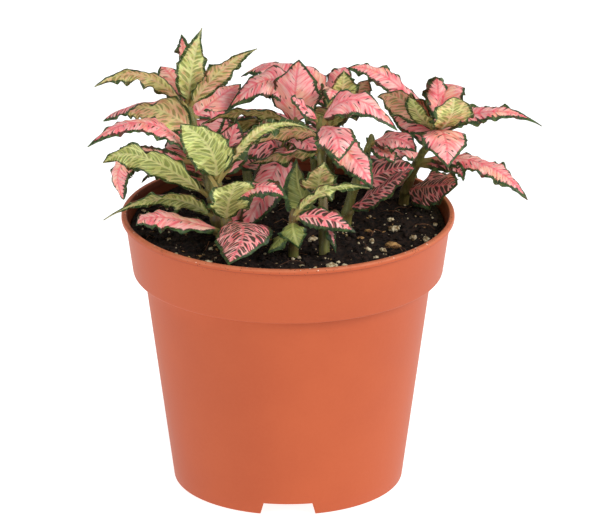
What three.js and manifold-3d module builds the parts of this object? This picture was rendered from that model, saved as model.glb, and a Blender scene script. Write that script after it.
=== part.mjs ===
// Potted nerve plant: a bushy Fittonia in a 12 cm injection-moulded nursery pot.
// Millimetres, +Z up. The origin is the centre of the pot's base, on the surface that the pot stands on;
// the front of the plant faces -Y.
// The solids are the pot, the potting mix that fills it, and one leafy stem for each rooted cutting.
// A leafy stem is one grown piece: its leaves start inside the stem and are joined to it.
import * as THREE from "three";
import { mergeVertices } from "three/addons/utils/BufferGeometryUtils.js";
import Module from "manifold-3d";

const wasm = await Module();
wasm.setup();

// Pot
const POT_HEIGHT = 101;
const RIM_RADIUS = 60;
const LIP_TALL = 2;
const LIP_WIDE = 1.9;
const COLLAR_TOP_RADIUS = 58.6;
const COLLAR_LOW_RADIUS = 55.8;
const STEP_Z = 79;
const BODY_TOP_RADIUS = 51.9;
const BASE_RADIUS = 41.4;
const WALL = 1.1;
const EDGE_ROUND = 0.5;
const CHANNEL_LIFT = 5.2;
const CHANNEL_SLOPE = 2.5;
const CENTRE_PAD_RADIUS = 19;
const FOOT_WIDE = 1.2;
const POT_SIDES = 40;
const NOTCH_COUNT = 3;
const NOTCH_WIDE_LOW = 20;
const NOTCH_WIDE_HIGH = 17.5;
const NOTCH_TALL = 4.6;
const NOTCH_DEEP = 10;
const DRAIN_COUNT = 6;
const DRAIN_RADIUS = 3.5;
const DRAIN_SIDES = 12;
const DRAIN_RING_RADIUS = 31;

// Potting mix
const SOIL_Z = 95;
const SOIL_RADIUS = 56.4;
const SOIL_GAP = 0.35;
const SOIL_SIDES = 32;
const SOIL_RINGS = 6;
const HUMP_TALL = 0.9;
const RIPPLE_TALL = 0.4;
const WALL_RISE = 2;
const HOLE_DEPTH = 14;
const HOLE_SIDES = 12;
const CHIP_COUNT = 20;
const CHIP_SEED = 11;
const CHIP_SMALLEST = 0.9;
const CHIP_SPREAD = 1.5;
const CHIP_FIELD_RADIUS = 52;
const CHIP_CLEARANCE = 6;
const CHIP_SUNK_SHARE = 0.15;

// Stems and leaves
const STEM_FOOT_RADIUS = 2;
const STEM_TOP_RADIUS = 1.2;
const STEM_SIDES = 6;
const STEM_STEPS = 6;
const STEM_LEAN_POWER = 1.4;
const BUD_TALL = 3;
const BLADE_THICK = 0.85;
const BLADE_STEPS = 6;
const PETIOLE_SHARE = 0.07;
const PETIOLE_HALF = 1.1;
const TIP_HALF = 0.3;
const BASE_POWER = 0.7;
const TIP_POWER = 0.95;
const MARGIN_DROP = 0.22;
const WAVE_HIGH = 0.9;
const WAVE_WIDE = 0.07;

const radians = THREE.MathUtils.degToRad;

// A leaf: the height where it leaves its stem, a point half way along its midrib, its tip, its width, how
// far it is rolled about its midrib at the stem, how far the roll changes on the way to the tip, and how
// finely it is drawn out at its tip.
function leaf(from, middle, tip, wide, roll, twist = 0, tipPower = TIP_POWER) {
  return { from, middle, tip, wide, roll, twist, tipPower };
}

const STEMS = [
  {
    name: "leafy_stem_left_tall",
    foot: [-25, -8],
    top: [-36, 2, 141],
    leaves: [
      leaf(139, [-52, -2, 154], [-69, -4, 150], 10, 50),
      leaf(141, [-34, -4, 158], [-30.5, -8, 173.5], 11, 0, -70, 1.3),
      leaf(140, [-37, 4, 157], [-38, 4, 167], 6, -70),
      leaf(140, [-24, -3, 156], [-11, -6, 165], 10, -50, 0, 1.3),
      leaf(136, [-26, 16, 138.3], [-17, 27, 140.3], 14, 20),
      leaf(139, [-41, 10, 148], [-46, 18, 150], 11, -10),
      leaf(131, [-50, -2, 142], [-66, -4, 137], 18, 110, -120),
      leaf(108, [-51, -8, 125], [-66, -12, 124], 15, 55),
      leaf(120, [-57, 6, 119], [-59, 2, 105], 10, -60, 0, 0.55),
      leaf(112, [-43, 17, 112], [-53, 20, 105], 12, -10),
      leaf(101, [-44, -12, 111], [-66, -14, 103], 11, 50, 0, 1.5),
      leaf(127, [-37, 15, 130], [-37, 26, 121], 13, 0),
      leaf(114, [-26, 9, 119], [-19, 16, 113], 12, 20),
      leaf(117, [-27, 8, 127], [-23, 19, 132], 14, 0),
      leaf(129, [-28, 4, 134], [-22, 10, 136], 10, 30),
      leaf(114, [-38, 10, 121], [-41, 22, 122], 13, 0),
    ],
  },
  {
    name: "leafy_stem_left_front",
    foot: [-21, -15],
    top: [-26, -11, 119],
    leaves: [
      leaf(113, [-46.5, -20, 141], [-71, -26, 135], 12, -12),
      leaf(98, [-44, -22, 107], [-54, -21, 103.5], 12, -15),
      leaf(102, [-15.8, -32, 105.5], [-21, -50.5, 99.5], 20.5, 8),
      leaf(103, [-21, -22, 113.5], [-18, -27, 122.5], 17, 0, 0, 0.35),
      leaf(117, [-28, -20, 133], [-38, -24, 143], 17, 45, 0, 0.8),
      leaf(116, [-9, -24, 141], [10, -25, 140.5], 6, -55),
      leaf(100, [-17.5, -3, 105], [-18, 8, 106], 9, 10),
      leaf(118, [-22, -8, 127], [-18, -4, 137], 15, 20),
      leaf(108, [-10, -27, 120.5], [0, -33, 117.5], 7, 40),
    ],
  },
  {
    name: "leafy_stem_front_low",
    foot: [2, -27],
    top: [2, -29, 110],
    leaves: [
      leaf(109, [13, -33, 111], [24, -35, 106], 9, 35),
      leaf(110, [13, -34, 122], [29, -30, 121], 8, -50),
      leaf(105, [-2.5, -34.5, 104], [-7, -38.5, 99.5], 10.5, 20),
      leaf(107, [2, -36, 107], [4, -38, 101], 10, 0),
    ],
  },
  {
    name: "leafy_stem_front_centre",
    foot: [13, -28],
    top: [11.5, -10, 138],
    leaves: [
      leaf(117, [11, -27, 123], [13, -33, 132], 13, 0),
      leaf(107, [5, -20, 114], [3, -16, 127], 12, 0),
      leaf(108, [15, -31, 106], [17, -34, 98], 4, 0),
      leaf(137, [17, -24, 139], [18, -33, 132], 14, 10),
      leaf(135, [22, -22, 131], [30, -30, 121], 12, 25),
      leaf(137, [23, -12, 148], [39, -14, 137], 13, 25),
      leaf(138, [5, -12, 146], [1, -14, 149], 8, -30),
      leaf(134, [1, -13, 137], [-13, -12, 131], 13, 45),
      leaf(129, [1, -13, 128.5], [-14, -9, 122.5], 12, 35),
    ],
  },
  {
    name: "leafy_stem_right_low",
    foot: [21, 6],
    top: [30, 8, 125],
    leaves: [
      leaf(99, [33, 0, 110], [44.6, -2, 118], 17, 15, 0, 0.8),
      leaf(108, [36, 8, 114], [46, 12, 113], 14, 40),
      leaf(124, [39, 0, 129], [46, -2, 124.5], 10.5, 25),
      leaf(123, [35, 0, 124], [38, -4, 121], 8, 0),
      leaf(120, [25, 4, 122], [20, 0, 121], 7, 20),
      leaf(114, [31, 18, 116], [31, 26, 110], 12, 0),
    ],
  },
  {
    name: "leafy_stem_right_tall",
    foot: [42, 26],
    top: [54, 8, 130],
    leaves: [
      leaf(100, [52, 14, 106], [61, 4, 110], 17, 40),
      leaf(114, [70, 4, 118], [86, -4, 107], 10, 15),
      leaf(128, [56, -4, 131.5], [57, -14, 123], 17, 0),
      leaf(129, [73, 4, 138], [91, 2, 133], 8, 25, 0, 1.4),
      leaf(130, [58, -1, 138], [59, -8, 147.5], 15, 0, 0, 0.5),
      leaf(129, [41, 4, 142.5], [32, 2, 144], 14, 50),
      leaf(127, [44, 14, 131.5], [37, 16, 132], 11, -30),
      leaf(130, [57, 16, 142], [63, 22, 140], 14, 0),
      leaf(131, [54, 14, 141], [53, 10, 149], 9, 0),
      leaf(130, [36, 14, 147], [21, 16, 150], 9, -30),
      leaf(112, [59, 7, 116], [63, 2, 112], 5, 60),
      leaf(124, [60, 24, 130], [64, 34, 126], 13, 0),
      leaf(119, [52, 26, 123], [53, 36, 115], 13, 0),
      leaf(129, [47, 2, 138], [44, 0, 146.5], 9, 20),
    ],
  },
  {
    name: "leafy_stem_middle",
    foot: [-8, 18],
    top: [3, 8, 132],
    leaves: [
      leaf(131, [2.5, 8, 143], [4, 13, 154.5], 18, 0),
      leaf(131, [-3, 28, 145.3], [-17, 34, 140.8], 12, -20),
      leaf(132, [-5, 15, 146.2], [-22, 9, 136.4], 14, -35),
      leaf(131, [-14, 2, 139], [-31, -2, 135], 9, 40),
      leaf(118, [-10, 9, 125], [-26, 8, 121], 16, -30),
      leaf(108, [-20, 24, 114], [-32, 26, 110], 12, 0),
      leaf(124, [6, 3, 127], [10, -2, 122], 14, 0),
      leaf(114, [-2, 30, 120], [-6, 43, 114], 12, 0),
      leaf(122, [-4.5, 0, 117], [-15.5, -14, 101], 13, -25, 0, 0.5),
    ],
  },
  {
    name: "leafy_stem_back_centre",
    foot: [15, 30],
    top: [15.5, 22, 130],
    leaves: [
      leaf(130, [19, 14, 141], [20, 8, 152], 13, 0),
      leaf(131, [16.5, 7, 145], [14.5, 1, 142], 9.5, -20),
      leaf(130, [24, 20, 140], [29, 18, 145], 13, -40),
      leaf(130, [10, 28, 142], [5, 30, 146], 12, 0),
      leaf(129, [18, 32, 140], [21, 38, 143], 11, 0),
      leaf(124, [20, 33, 128], [25, 42, 121], 12, 0),
      leaf(122, [13, 40, 124], [12, 52, 116], 14, 0),
      leaf(112, [26, 30, 109], [34, 28, 104], 13, 0),
      leaf(120, [7, 22, 125.5], [-4, 21, 123], 12, 0),
      leaf(124, [14, 17, 133], [11, 9, 138], 13, 0),
      leaf(112, [10, 22, 119], [6, 14, 117.5], 12, 0),
    ],
  },
  {
    name: "leafy_stem_back_left",
    foot: [-14, 36],
    top: [-18, 40, 116],
    leaves: [
      leaf(115, [-30, 46, 117], [-40, 50, 108], 14, 0),
      leaf(116, [-17, 54, 118], [-16, 64, 106], 14, 0),
      leaf(116, [-6, 47, 121], [6, 51, 117], 13, 0),
      leaf(108, [-32, 38, 112], [-44, 34, 105], 13, 0),
      leaf(113, [-10, 33, 115], [-3, 30, 109], 11, 0),
      leaf(115, [-18, 33, 125], [-12, 25, 128], 14, 0),
    ],
  },
  {
    name: "leafy_stem_back_right",
    foot: [10, 45],
    top: [10, 50, 110],
    leaves: [
      leaf(109, [19, 58, 111], [26, 64, 102], 14, 0),
      leaf(110, [3, 61, 112], [-4, 70, 100], 13, 0),
      leaf(104, [19, 43, 107], [26, 40, 102], 12, 0),
    ],
  },
  {
    name: "leafy_stem_far_right",
    foot: [30, 40],
    top: [33, 44, 108],
    leaves: [
      leaf(107, [43, 45, 109], [53, 44, 102], 13, 0),
      leaf(107, [36, 54, 109], [40, 62, 100], 13, 0),
      leaf(102, [40, 36, 104], [47, 31, 103], 11, 0),
    ],
  },
];

// A closed geometry as a solid that can be cut and joined.
function solid(geometry) {
  const bare = geometry.index ? geometry.toNonIndexed() : geometry.clone();
  const positions = new THREE.BufferGeometry().setAttribute("position", bare.getAttribute("position"));
  const merged = mergeVertices(positions, 1e-4);
  const mesh = new wasm.Mesh({
    numProp: 3,
    vertProperties: merged.attributes.position.array,
    triVerts: new Uint32Array(merged.index.array),
  });
  return new wasm.Manifold(mesh);
}

// A solid back as a geometry for a mesh.
function geometryOf(manifold) {
  const { numProp, numVert, vertProperties, triVerts } = manifold.getMesh();
  const positions = new Float32Array(numVert * 3);
  for (let i = 0; i < numVert; i++) {
    positions.set(vertProperties.subarray(i * numProp, i * numProp + 3), i * 3);
  }
  const geometry = new THREE.BufferGeometry();
  geometry.setAttribute("position", new THREE.BufferAttribute(positions, 3));
  geometry.setIndex(new THREE.BufferAttribute(new Uint32Array(triVerts), 1));
  return geometry;
}

// A solid from its vertices and the corners of its triangles, which run anticlockwise seen from outside.
function facedSolid(vertices, index) {
  const places = new THREE.Float32BufferAttribute(vertices.flatMap((vertex) => vertex.toArray()), 3);
  const geometry = new THREE.BufferGeometry().setAttribute("position", places);
  geometry.setIndex(index);
  return solid(geometry);
}

// A ring turned about the Z axis from a closed outline of [radius, z] corners.
function turned(outline, sides) {
  const corners = outline.map(([r, z]) => new THREE.Vector2(r, z));
  return new THREE.LatheGeometry(corners, sides).rotateX(Math.PI / 2);
}

// The radius of the pot's inner face just above its raised floor.
function innerFloorRadius() {
  const taper = (BODY_TOP_RADIUS - BASE_RADIUS) / STEP_Z;
  return BASE_RADIUS - WALL + taper * (CHANNEL_LIFT + WALL);
}

// Pot: a thin tapered wall that steps out to a wider collar, with a lip round its top. The base has a flat
// pad in the middle and a raised channel round it, and the foot ring is notched so that water runs away.
function potGeometry() {
  const lipZ = POT_HEIGHT - LIP_TALL;
  const floorZ = CHANNEL_LIFT + WALL;
  const outline = [
    [0, 0],
    [CENTRE_PAD_RADIUS, 0],
    [CENTRE_PAD_RADIUS + CHANNEL_SLOPE, CHANNEL_LIFT],
    [BASE_RADIUS - EDGE_ROUND - FOOT_WIDE, CHANNEL_LIFT],
    [BASE_RADIUS - EDGE_ROUND - FOOT_WIDE, 0],
    [BASE_RADIUS - EDGE_ROUND, 0],
    [BASE_RADIUS, EDGE_ROUND],
    [BODY_TOP_RADIUS, STEP_Z],
    [COLLAR_LOW_RADIUS - EDGE_ROUND, STEP_Z],
    [COLLAR_LOW_RADIUS, STEP_Z + EDGE_ROUND],
    [COLLAR_TOP_RADIUS, lipZ],
    [RIM_RADIUS, lipZ],
    [RIM_RADIUS, POT_HEIGHT - EDGE_ROUND],
    [RIM_RADIUS - EDGE_ROUND, POT_HEIGHT],
    [RIM_RADIUS - LIP_WIDE, POT_HEIGHT],
    [COLLAR_TOP_RADIUS - WALL, lipZ],
    [COLLAR_LOW_RADIUS - WALL, STEP_Z + WALL],
    [BODY_TOP_RADIUS - WALL, STEP_Z + WALL],
    [innerFloorRadius(), floorZ],
    [CENTRE_PAD_RADIUS + CHANNEL_SLOPE - WALL / 2, floorZ],
    [CENTRE_PAD_RADIUS - WALL / 2, WALL],
    [0, WALL],
  ];
  let pot = solid(turned(outline, POT_SIDES));
  const notch = new THREE.Shape([
    new THREE.Vector2(-NOTCH_WIDE_LOW / 2, -EDGE_ROUND),
    new THREE.Vector2(NOTCH_WIDE_LOW / 2, -EDGE_ROUND),
    new THREE.Vector2(NOTCH_WIDE_HIGH / 2, NOTCH_TALL),
    new THREE.Vector2(-NOTCH_WIDE_HIGH / 2, NOTCH_TALL),
  ]);
  for (let i = 0; i < NOTCH_COUNT; i++) {
    const cutter = new THREE.ExtrudeGeometry(notch, { depth: NOTCH_DEEP, bevelEnabled: false });
    cutter.rotateX(Math.PI / 2).translate(0, NOTCH_DEEP / 2 - BASE_RADIUS, 0);
    cutter.rotateZ((i * 2 * Math.PI) / NOTCH_COUNT);
    pot = pot.subtract(solid(cutter));
  }
  for (let i = 0; i < DRAIN_COUNT; i++) {
    const angle = ((i + 0.5) * 2 * Math.PI) / DRAIN_COUNT;
    const drill = new THREE.CylinderGeometry(DRAIN_RADIUS, DRAIN_RADIUS, 4 * WALL, DRAIN_SIDES);
    drill.rotateX(Math.PI / 2).translate(DRAIN_RING_RADIUS, 0, CHANNEL_LIFT).rotateZ(angle);
    pot = pot.subtract(solid(drill));
  }
  return geometryOf(pot);
}

// The height of the mix at a place: it lies in low crumbly humps and is banked up a little to the wall.
function soilHeight(x, y) {
  const hump = HUMP_TALL * Math.sin(0.16 * x + 1.1) * Math.cos(0.13 * y);
  const ripple = RIPPLE_TALL * Math.sin(0.2 * x - 0.17 * y);
  return SOIL_Z + hump + ripple + WALL_RISE * (Math.hypot(x, y) / RIM_RADIUS) ** 4;
}

// Numbers from 0 to 1 in an order that is the same in every run.
function seededDraw(seed) {
  let state = seed;
  return () => {
    state = (state * 1664525 + 1013904223) % 4294967296;
    return state / 4294967296;
  };
}

// Potting mix: it fills the pot to just under the rim and has a plain hole for each stem. Bits of perlite
// and bark lie half sunk in its top.
function soilGeometry() {
  const ledgeZ = STEP_Z + WALL + SOIL_GAP;
  const floorZ = CHANNEL_LIFT + WALL + SOIL_GAP;
  const padRadius = CENTRE_PAD_RADIUS - WALL / 2 - SOIL_GAP;
  const sides = [
    [COLLAR_LOW_RADIUS - WALL - SOIL_GAP, ledgeZ],
    [BODY_TOP_RADIUS - WALL - SOIL_GAP, ledgeZ],
    [innerFloorRadius() - SOIL_GAP, floorZ],
    [padRadius + CHANNEL_SLOPE, floorZ],
    [padRadius, WALL + SOIL_GAP],
  ];
  const vertices = [new THREE.Vector3(0, 0, soilHeight(0, 0))];
  const rings = [];
  const addRing = (radius, height) => {
    rings.push(vertices.length);
    for (let k = 0; k < SOIL_SIDES; k++) {
      const angle = (k * 2 * Math.PI) / SOIL_SIDES;
      const x = radius * Math.cos(angle);
      const y = radius * Math.sin(angle);
      vertices.push(new THREE.Vector3(x, y, height(x, y)));
    }
  };
  for (let i = 1; i <= SOIL_RINGS; i++) {
    addRing((SOIL_RADIUS * i) / SOIL_RINGS, soilHeight);
  }
  for (const [radius, z] of sides) {
    addRing(radius, () => z);
  }
  vertices.push(new THREE.Vector3(0, 0, WALL + SOIL_GAP));
  const index = [];
  const last = rings[rings.length - 1];
  for (let k = 0; k < SOIL_SIDES; k++) {
    const next = (k + 1) % SOIL_SIDES;
    index.push(0, rings[0] + k, rings[0] + next, vertices.length - 1, last + next, last + k);
    for (let i = 0; i + 1 < rings.length; i++) {
      const [a, b] = [rings[i], rings[i + 1]];
      index.push(a + k, b + k, b + next, a + k, b + next, a + next);
    }
  }
  let soil = facedSolid(vertices, index);
  for (const { x, y, size, flat, turn } of chips()) {
    const chip = new THREE.IcosahedronGeometry(size, 0).scale(1, 0.7, flat).rotateZ(turn);
    soil = soil.add(solid(chip.translate(x, y, soilHeight(x, y) - CHIP_SUNK_SHARE * size)));
  }
  for (const { foot } of STEMS) {
    const radius = STEM_FOOT_RADIUS + SOIL_GAP;
    const drill = new THREE.CylinderGeometry(radius, radius, 2 * HOLE_DEPTH, HOLE_SIDES);
    drill.rotateX(Math.PI / 2).translate(foot[0], foot[1], SOIL_Z);
    soil = soil.subtract(solid(drill));
  }
  return geometryOf(soil);
}

// Where the bits of perlite and bark lie, by a seeded draw that keeps them clear of the stems and the wall.
function chips() {
  const draw = seededDraw(CHIP_SEED);
  const places = [];
  while (places.length < CHIP_COUNT) {
    const angle = 2 * Math.PI * draw();
    const radius = CHIP_FIELD_RADIUS * Math.sqrt(draw());
    const chip = {
      x: radius * Math.cos(angle),
      y: radius * Math.sin(angle),
      size: CHIP_SMALLEST + CHIP_SPREAD * draw() ** 2,
      flat: 0.5 + 0.3 * draw(),
      turn: Math.PI * draw(),
    };
    const clear = [...STEMS.map(({ foot }) => foot), ...places.map((p) => [p.x, p.y])];
    if (clear.every(([x, y]) => Math.hypot(chip.x - x, chip.y - y) > CHIP_CLEARANCE)) places.push(chip);
  }
  return places;
}

// The stem's axis at a height: upright in the mix, then leaning steadily over to its top.
function stemPoint({ foot, top }, z) {
  const share = THREE.MathUtils.clamp((z - SOIL_Z) / (top[2] - SOIL_Z), 0, 1) ** STEM_LEAN_POWER;
  return new THREE.Vector3(foot[0] + (top[0] - foot[0]) * share, foot[1] + (top[1] - foot[1]) * share, z);
}

// Stem: a round shoot that stands in the mix, narrows upwards and ends in a pointed bud.
function stemSolid(stem) {
  const lowest = SOIL_Z - HOLE_DEPTH + SOIL_GAP;
  const heights = [lowest, SOIL_Z];
  for (let i = 1; i <= STEM_STEPS; i++) {
    heights.push(SOIL_Z + ((stem.top[2] - SOIL_Z) * i) / STEM_STEPS);
  }
  heights.push(stem.top[2] + BUD_TALL);
  const vertices = [];
  heights.forEach((z, i) => {
    const share = Math.max(0, (z - SOIL_Z) / (stem.top[2] - SOIL_Z));
    const grown = THREE.MathUtils.lerp(STEM_FOOT_RADIUS, STEM_TOP_RADIUS, Math.min(1, share));
    const radius = i === heights.length - 1 ? TIP_HALF : grown;
    const centre = stemPoint(stem, z);
    for (let k = 0; k < STEM_SIDES; k++) {
      const angle = (k * 2 * Math.PI) / STEM_SIDES;
      vertices.push(new THREE.Vector3(radius * Math.cos(angle), radius * Math.sin(angle), 0).add(centre));
    }
  });
  const index = [];
  const last = (heights.length - 1) * STEM_SIDES;
  for (let i = 0; i + 1 < heights.length; i++) {
    for (let k = 0; k < STEM_SIDES; k++) {
      const [here, next] = [i * STEM_SIDES + k, i * STEM_SIDES + ((k + 1) % STEM_SIDES)];
      index.push(here, next, next + STEM_SIDES, here, next + STEM_SIDES, here + STEM_SIDES);
    }
  }
  for (let k = 1; k + 1 < STEM_SIDES; k++) {
    index.push(0, k + 1, k, last, last + k, last + k + 1);
  }
  return facedSolid(vertices, index);
}

// Half the width of a blade, a share u of the way from the stem to the tip.
function halfWidth({ wide, tipPower }, u) {
  const share = THREE.MathUtils.clamp((u - PETIOLE_SHARE) / (1 - PETIOLE_SHARE), 0, 1);
  const widest = BASE_POWER / (BASE_POWER + tipPower);
  const full = widest ** BASE_POWER * (1 - widest) ** tipPower;
  const grown = (wide / 2) * (share ** BASE_POWER * (1 - share) ** tipPower) / full;
  return Math.max(u < 0.5 ? PETIOLE_HALF : TIP_HALF, grown);
}

// Where a blade's surface is: u runs from the stem to the tip, and v from one margin, at -1, to the other.
// The midrib is an arch through the leaf's middle point, and the margins hang a little and are waved.
function bladePoint(stem, shape, u, v) {
  const { from, middle, tip, wide, roll, twist } = shape;
  const base = stemPoint(stem, from);
  const end = new THREE.Vector3(...tip);
  const chord = end.clone().sub(base);
  const bend = new THREE.Vector3(...middle).multiplyScalar(2).sub(base.clone().lerp(end, 0.5));
  const arch = new THREE.QuadraticBezierCurve3(base, bend, end);
  const along = arch.getTangent(u);
  const across = new THREE.Vector3(0, 0, 1).cross(chord).normalize();
  const normal = along.clone().cross(across).normalize();
  const angle = radians(roll + twist * u);
  const side = across.clone().multiplyScalar(Math.cos(angle)).addScaledVector(normal, Math.sin(angle));
  const face = normal.clone().multiplyScalar(Math.cos(angle)).addScaledVector(across, -Math.sin(angle));
  const half = halfWidth(shape, u);
  const wave = Math.cos(Math.PI * BLADE_STEPS * u) * Math.sign(v) * Math.sin(Math.PI * u);
  const out = v * half * (1 + WAVE_WIDE * wave);
  const off = (WAVE_HIGH * wave * (2 * half) / wide - MARGIN_DROP * half) * v * v;
  return { face, point: arch.getPoint(u).addScaledVector(side, out).addScaledVector(face, off) };
}

// Leaf: a blade of even thickness, split alike on both faces.
function bladeSolid(stem, shape) {
  const columns = [-1, 0, 1];
  const upper = [];
  const lower = [];
  for (let i = 0; i <= BLADE_STEPS; i++) {
    for (const v of columns) {
      const { face, point } = bladePoint(stem, shape, i / BLADE_STEPS, v);
      upper.push(point.clone().addScaledVector(face, BLADE_THICK / 2));
      lower.push(point.clone().addScaledVector(face, -BLADE_THICK / 2));
    }
  }
  const under = upper.length;
  const wide = columns.length;
  const index = [];
  const quad = (a, b, c, d) => index.push(a, b, c, a, c, d);
  for (let i = 0; i < BLADE_STEPS; i++) {
    for (let j = 0; j + 1 < wide; j++) {
      const here = i * wide + j;
      quad(here, here + wide, here + wide + 1, here + 1);
      const below = under + here;
      index.push(below, below + wide + 1, below + wide, below, below + 1, below + wide + 1);
    }
    const [left, right] = [i * wide, i * wide + wide - 1];
    quad(left, under + left, under + left + wide, left + wide);
    quad(right, right + wide, under + right + wide, under + right);
  }
  const last = BLADE_STEPS * wide;
  for (let j = 0; j + 1 < wide; j++) {
    quad(j, j + 1, under + j + 1, under + j);
    quad(last + j, under + last + j, under + last + j + 1, last + j + 1);
  }
  return facedSolid([...upper, ...lower], index);
}

// Leafy stem: the stem with every leaf joined to it.
function leafyStemGeometry(stem) {
  let plant = stemSolid(stem);
  for (const shape of stem.leaves) {
    plant = plant.add(bladeSolid(stem, shape));
  }
  return geometryOf(plant);
}

const TERRACOTTA = new THREE.MeshStandardMaterial({ color: 0xc96b48, roughness: 0.45, metalness: 0 });
const PEAT = new THREE.MeshStandardMaterial({ color: 0x241a16, roughness: 0.95, metalness: 0 });
const FOLIAGE = new THREE.MeshStandardMaterial({ color: 0xd97a80, roughness: 0.5, metalness: 0 });

const pottedPlant = new THREE.Group();
function addPiece(name, geometry, material) {
  const mesh = new THREE.Mesh(geometry, material);
  mesh.name = name;
  pottedPlant.add(mesh);
}
addPiece("pot", potGeometry(), TERRACOTTA);
addPiece("potting_mix", soilGeometry(), PEAT);
for (const stem of STEMS) {
  addPiece(stem.name, leafyStemGeometry(stem), FOLIAGE);
}

export default pottedPlant;
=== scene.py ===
import math
import random

import bmesh
import bpy
from mathutils import Matrix, Vector, noise


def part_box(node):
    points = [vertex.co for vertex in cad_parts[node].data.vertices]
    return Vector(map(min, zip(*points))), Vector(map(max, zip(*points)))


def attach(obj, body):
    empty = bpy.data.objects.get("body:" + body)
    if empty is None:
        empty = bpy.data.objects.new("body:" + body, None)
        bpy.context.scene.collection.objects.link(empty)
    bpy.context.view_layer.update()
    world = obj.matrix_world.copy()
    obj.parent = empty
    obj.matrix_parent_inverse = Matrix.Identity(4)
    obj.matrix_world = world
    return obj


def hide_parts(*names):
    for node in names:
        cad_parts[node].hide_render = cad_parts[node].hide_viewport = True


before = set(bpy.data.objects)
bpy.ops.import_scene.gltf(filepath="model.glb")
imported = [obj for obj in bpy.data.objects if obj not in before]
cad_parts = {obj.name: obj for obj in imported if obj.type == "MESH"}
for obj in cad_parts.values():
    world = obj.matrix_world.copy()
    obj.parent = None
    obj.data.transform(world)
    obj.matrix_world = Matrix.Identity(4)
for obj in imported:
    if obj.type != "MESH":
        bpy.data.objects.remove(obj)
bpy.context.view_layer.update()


# Camera: it looks a little down on the front of the pot from 2.5 m away with a long lens, so the pot's
# sides stay almost parallel, as they do in the photograph.
PHOTO_WIDTH = 600
PHOTO_HEIGHT = 527
RIM_CENTRE_PIXEL = (288, 212)
PIXELS_PER_METRE = 2779
CAMERA_ELEVATION = math.radians(20.5)
CAMERA_DISTANCE = 2.5

picture_right = Vector((1, 0, 0))
picture_up = Vector((0, math.sin(CAMERA_ELEVATION), math.cos(CAMERA_ELEVATION)))
towards_camera = Vector((0, -math.cos(CAMERA_ELEVATION), math.sin(CAMERA_ELEVATION)))
rim_centre = Vector((0, 0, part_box("pot")[1].z))
right_shift = (PHOTO_WIDTH / 2 - RIM_CENTRE_PIXEL[0]) / PIXELS_PER_METRE
down_shift = (PHOTO_HEIGHT / 2 - RIM_CENTRE_PIXEL[1]) / PIXELS_PER_METRE
aim = rim_centre + picture_right * right_shift - picture_up * down_shift

camera = bpy.data.objects.new("camera", bpy.data.cameras.new("camera"))
camera.data.lens = camera.data.sensor_width * PIXELS_PER_METRE * CAMERA_DISTANCE / PHOTO_WIDTH
camera.location = aim + towards_camera * CAMERA_DISTANCE
camera.rotation_euler = (math.pi / 2 - CAMERA_ELEVATION, 0, 0)
bpy.context.scene.collection.objects.link(camera)
bpy.context.scene.camera = camera
bpy.context.scene.view_settings.view_transform = "Standard"


# Studio: a plain pale floor, lit from below like a light table, a hair under the pot's foot. A large soft
# light stands over the right shoulder and a weaker one low on the left. The surround looks as white as the
# floor, but it lights the plant less than that.
FLOOR_SIZE = 8
FLOOR_Z = -0.0002
FLOOR_GREY = 0.5
FLOOR_GLOW = 0.9
SURROUND_LIGHT = 0.36
SURROUND_SEEN = 1.0
SOFTBOX_SIZE = 1.4
SOFTBOXES = {"key_light": (Vector((1.8, -1.1, 1.4)), 50), "fill_light": (Vector((-1.9, -1.4, 0.7)), 20)}


def add_node(tree, kind, inputs=None, **settings):
    """A shader node. An input that is given another node's socket is linked to it, any other is set."""
    node = tree.nodes.new(kind)
    for name, value in settings.items():
        setattr(node, name, value)
    for name, value in (inputs or {}).items():
        if isinstance(value, bpy.types.NodeSocket):
            tree.links.new(value, node.inputs[name])
        else:
            node.inputs[name].default_value = value
    return node


def new_material(name, constants):
    """A material with a Principled BSDF, whose constant values are set on its own sockets."""
    material = bpy.data.materials.new(name)
    material.use_nodes = True
    shader = material.node_tree.nodes["Principled BSDF"]
    for socket, value in constants.items():
        shader.inputs[socket].default_value = value
    return material, material.node_tree, shader


def new_mesh(name, corners, faces):
    """A mesh from its corners and faces."""
    mesh = bpy.data.meshes.new(name)
    mesh.from_pydata(corners, [], faces)
    return mesh


def link_object(name, mesh):
    """A new object in the scene that shows the mesh."""
    made = bpy.data.objects.new(name, mesh)
    bpy.context.scene.collection.objects.link(made)
    return made


# Seen from below the floor is clear, so that it doesn't hide the pot's foot.
floor_finish, tree, shader = new_material(
    "pale_floor",
    {
        "Base Color": (FLOOR_GREY, FLOOR_GREY, FLOOR_GREY, 1),
        "Roughness": 0.9,
        "Specular IOR Level": 0.1,
        "Emission Color": (1, 1, 1, 1),
        "Emission Strength": FLOOR_GLOW,
    },
)
clear = add_node(tree, "ShaderNodeBsdfTransparent")
side_seen = add_node(tree, "ShaderNodeNewGeometry")
one_way = add_node(
    tree,
    "ShaderNodeMixShader",
    {0: side_seen.outputs["Backfacing"], 1: shader.outputs["BSDF"], 2: clear.outputs["BSDF"]},
)
tree.links.new(one_way.outputs["Shader"], tree.nodes["Material Output"].inputs["Surface"])

half = FLOOR_SIZE / 2
floor_corners = [(x, y, FLOOR_Z) for x, y in ((-half, -half), (half, -half), (half, half), (-half, half))]
floor_mesh = new_mesh("floor", floor_corners, [(0, 1, 2, 3)])
floor_mesh.materials.append(floor_finish)
floor = link_object("floor", floor_mesh)

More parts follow.
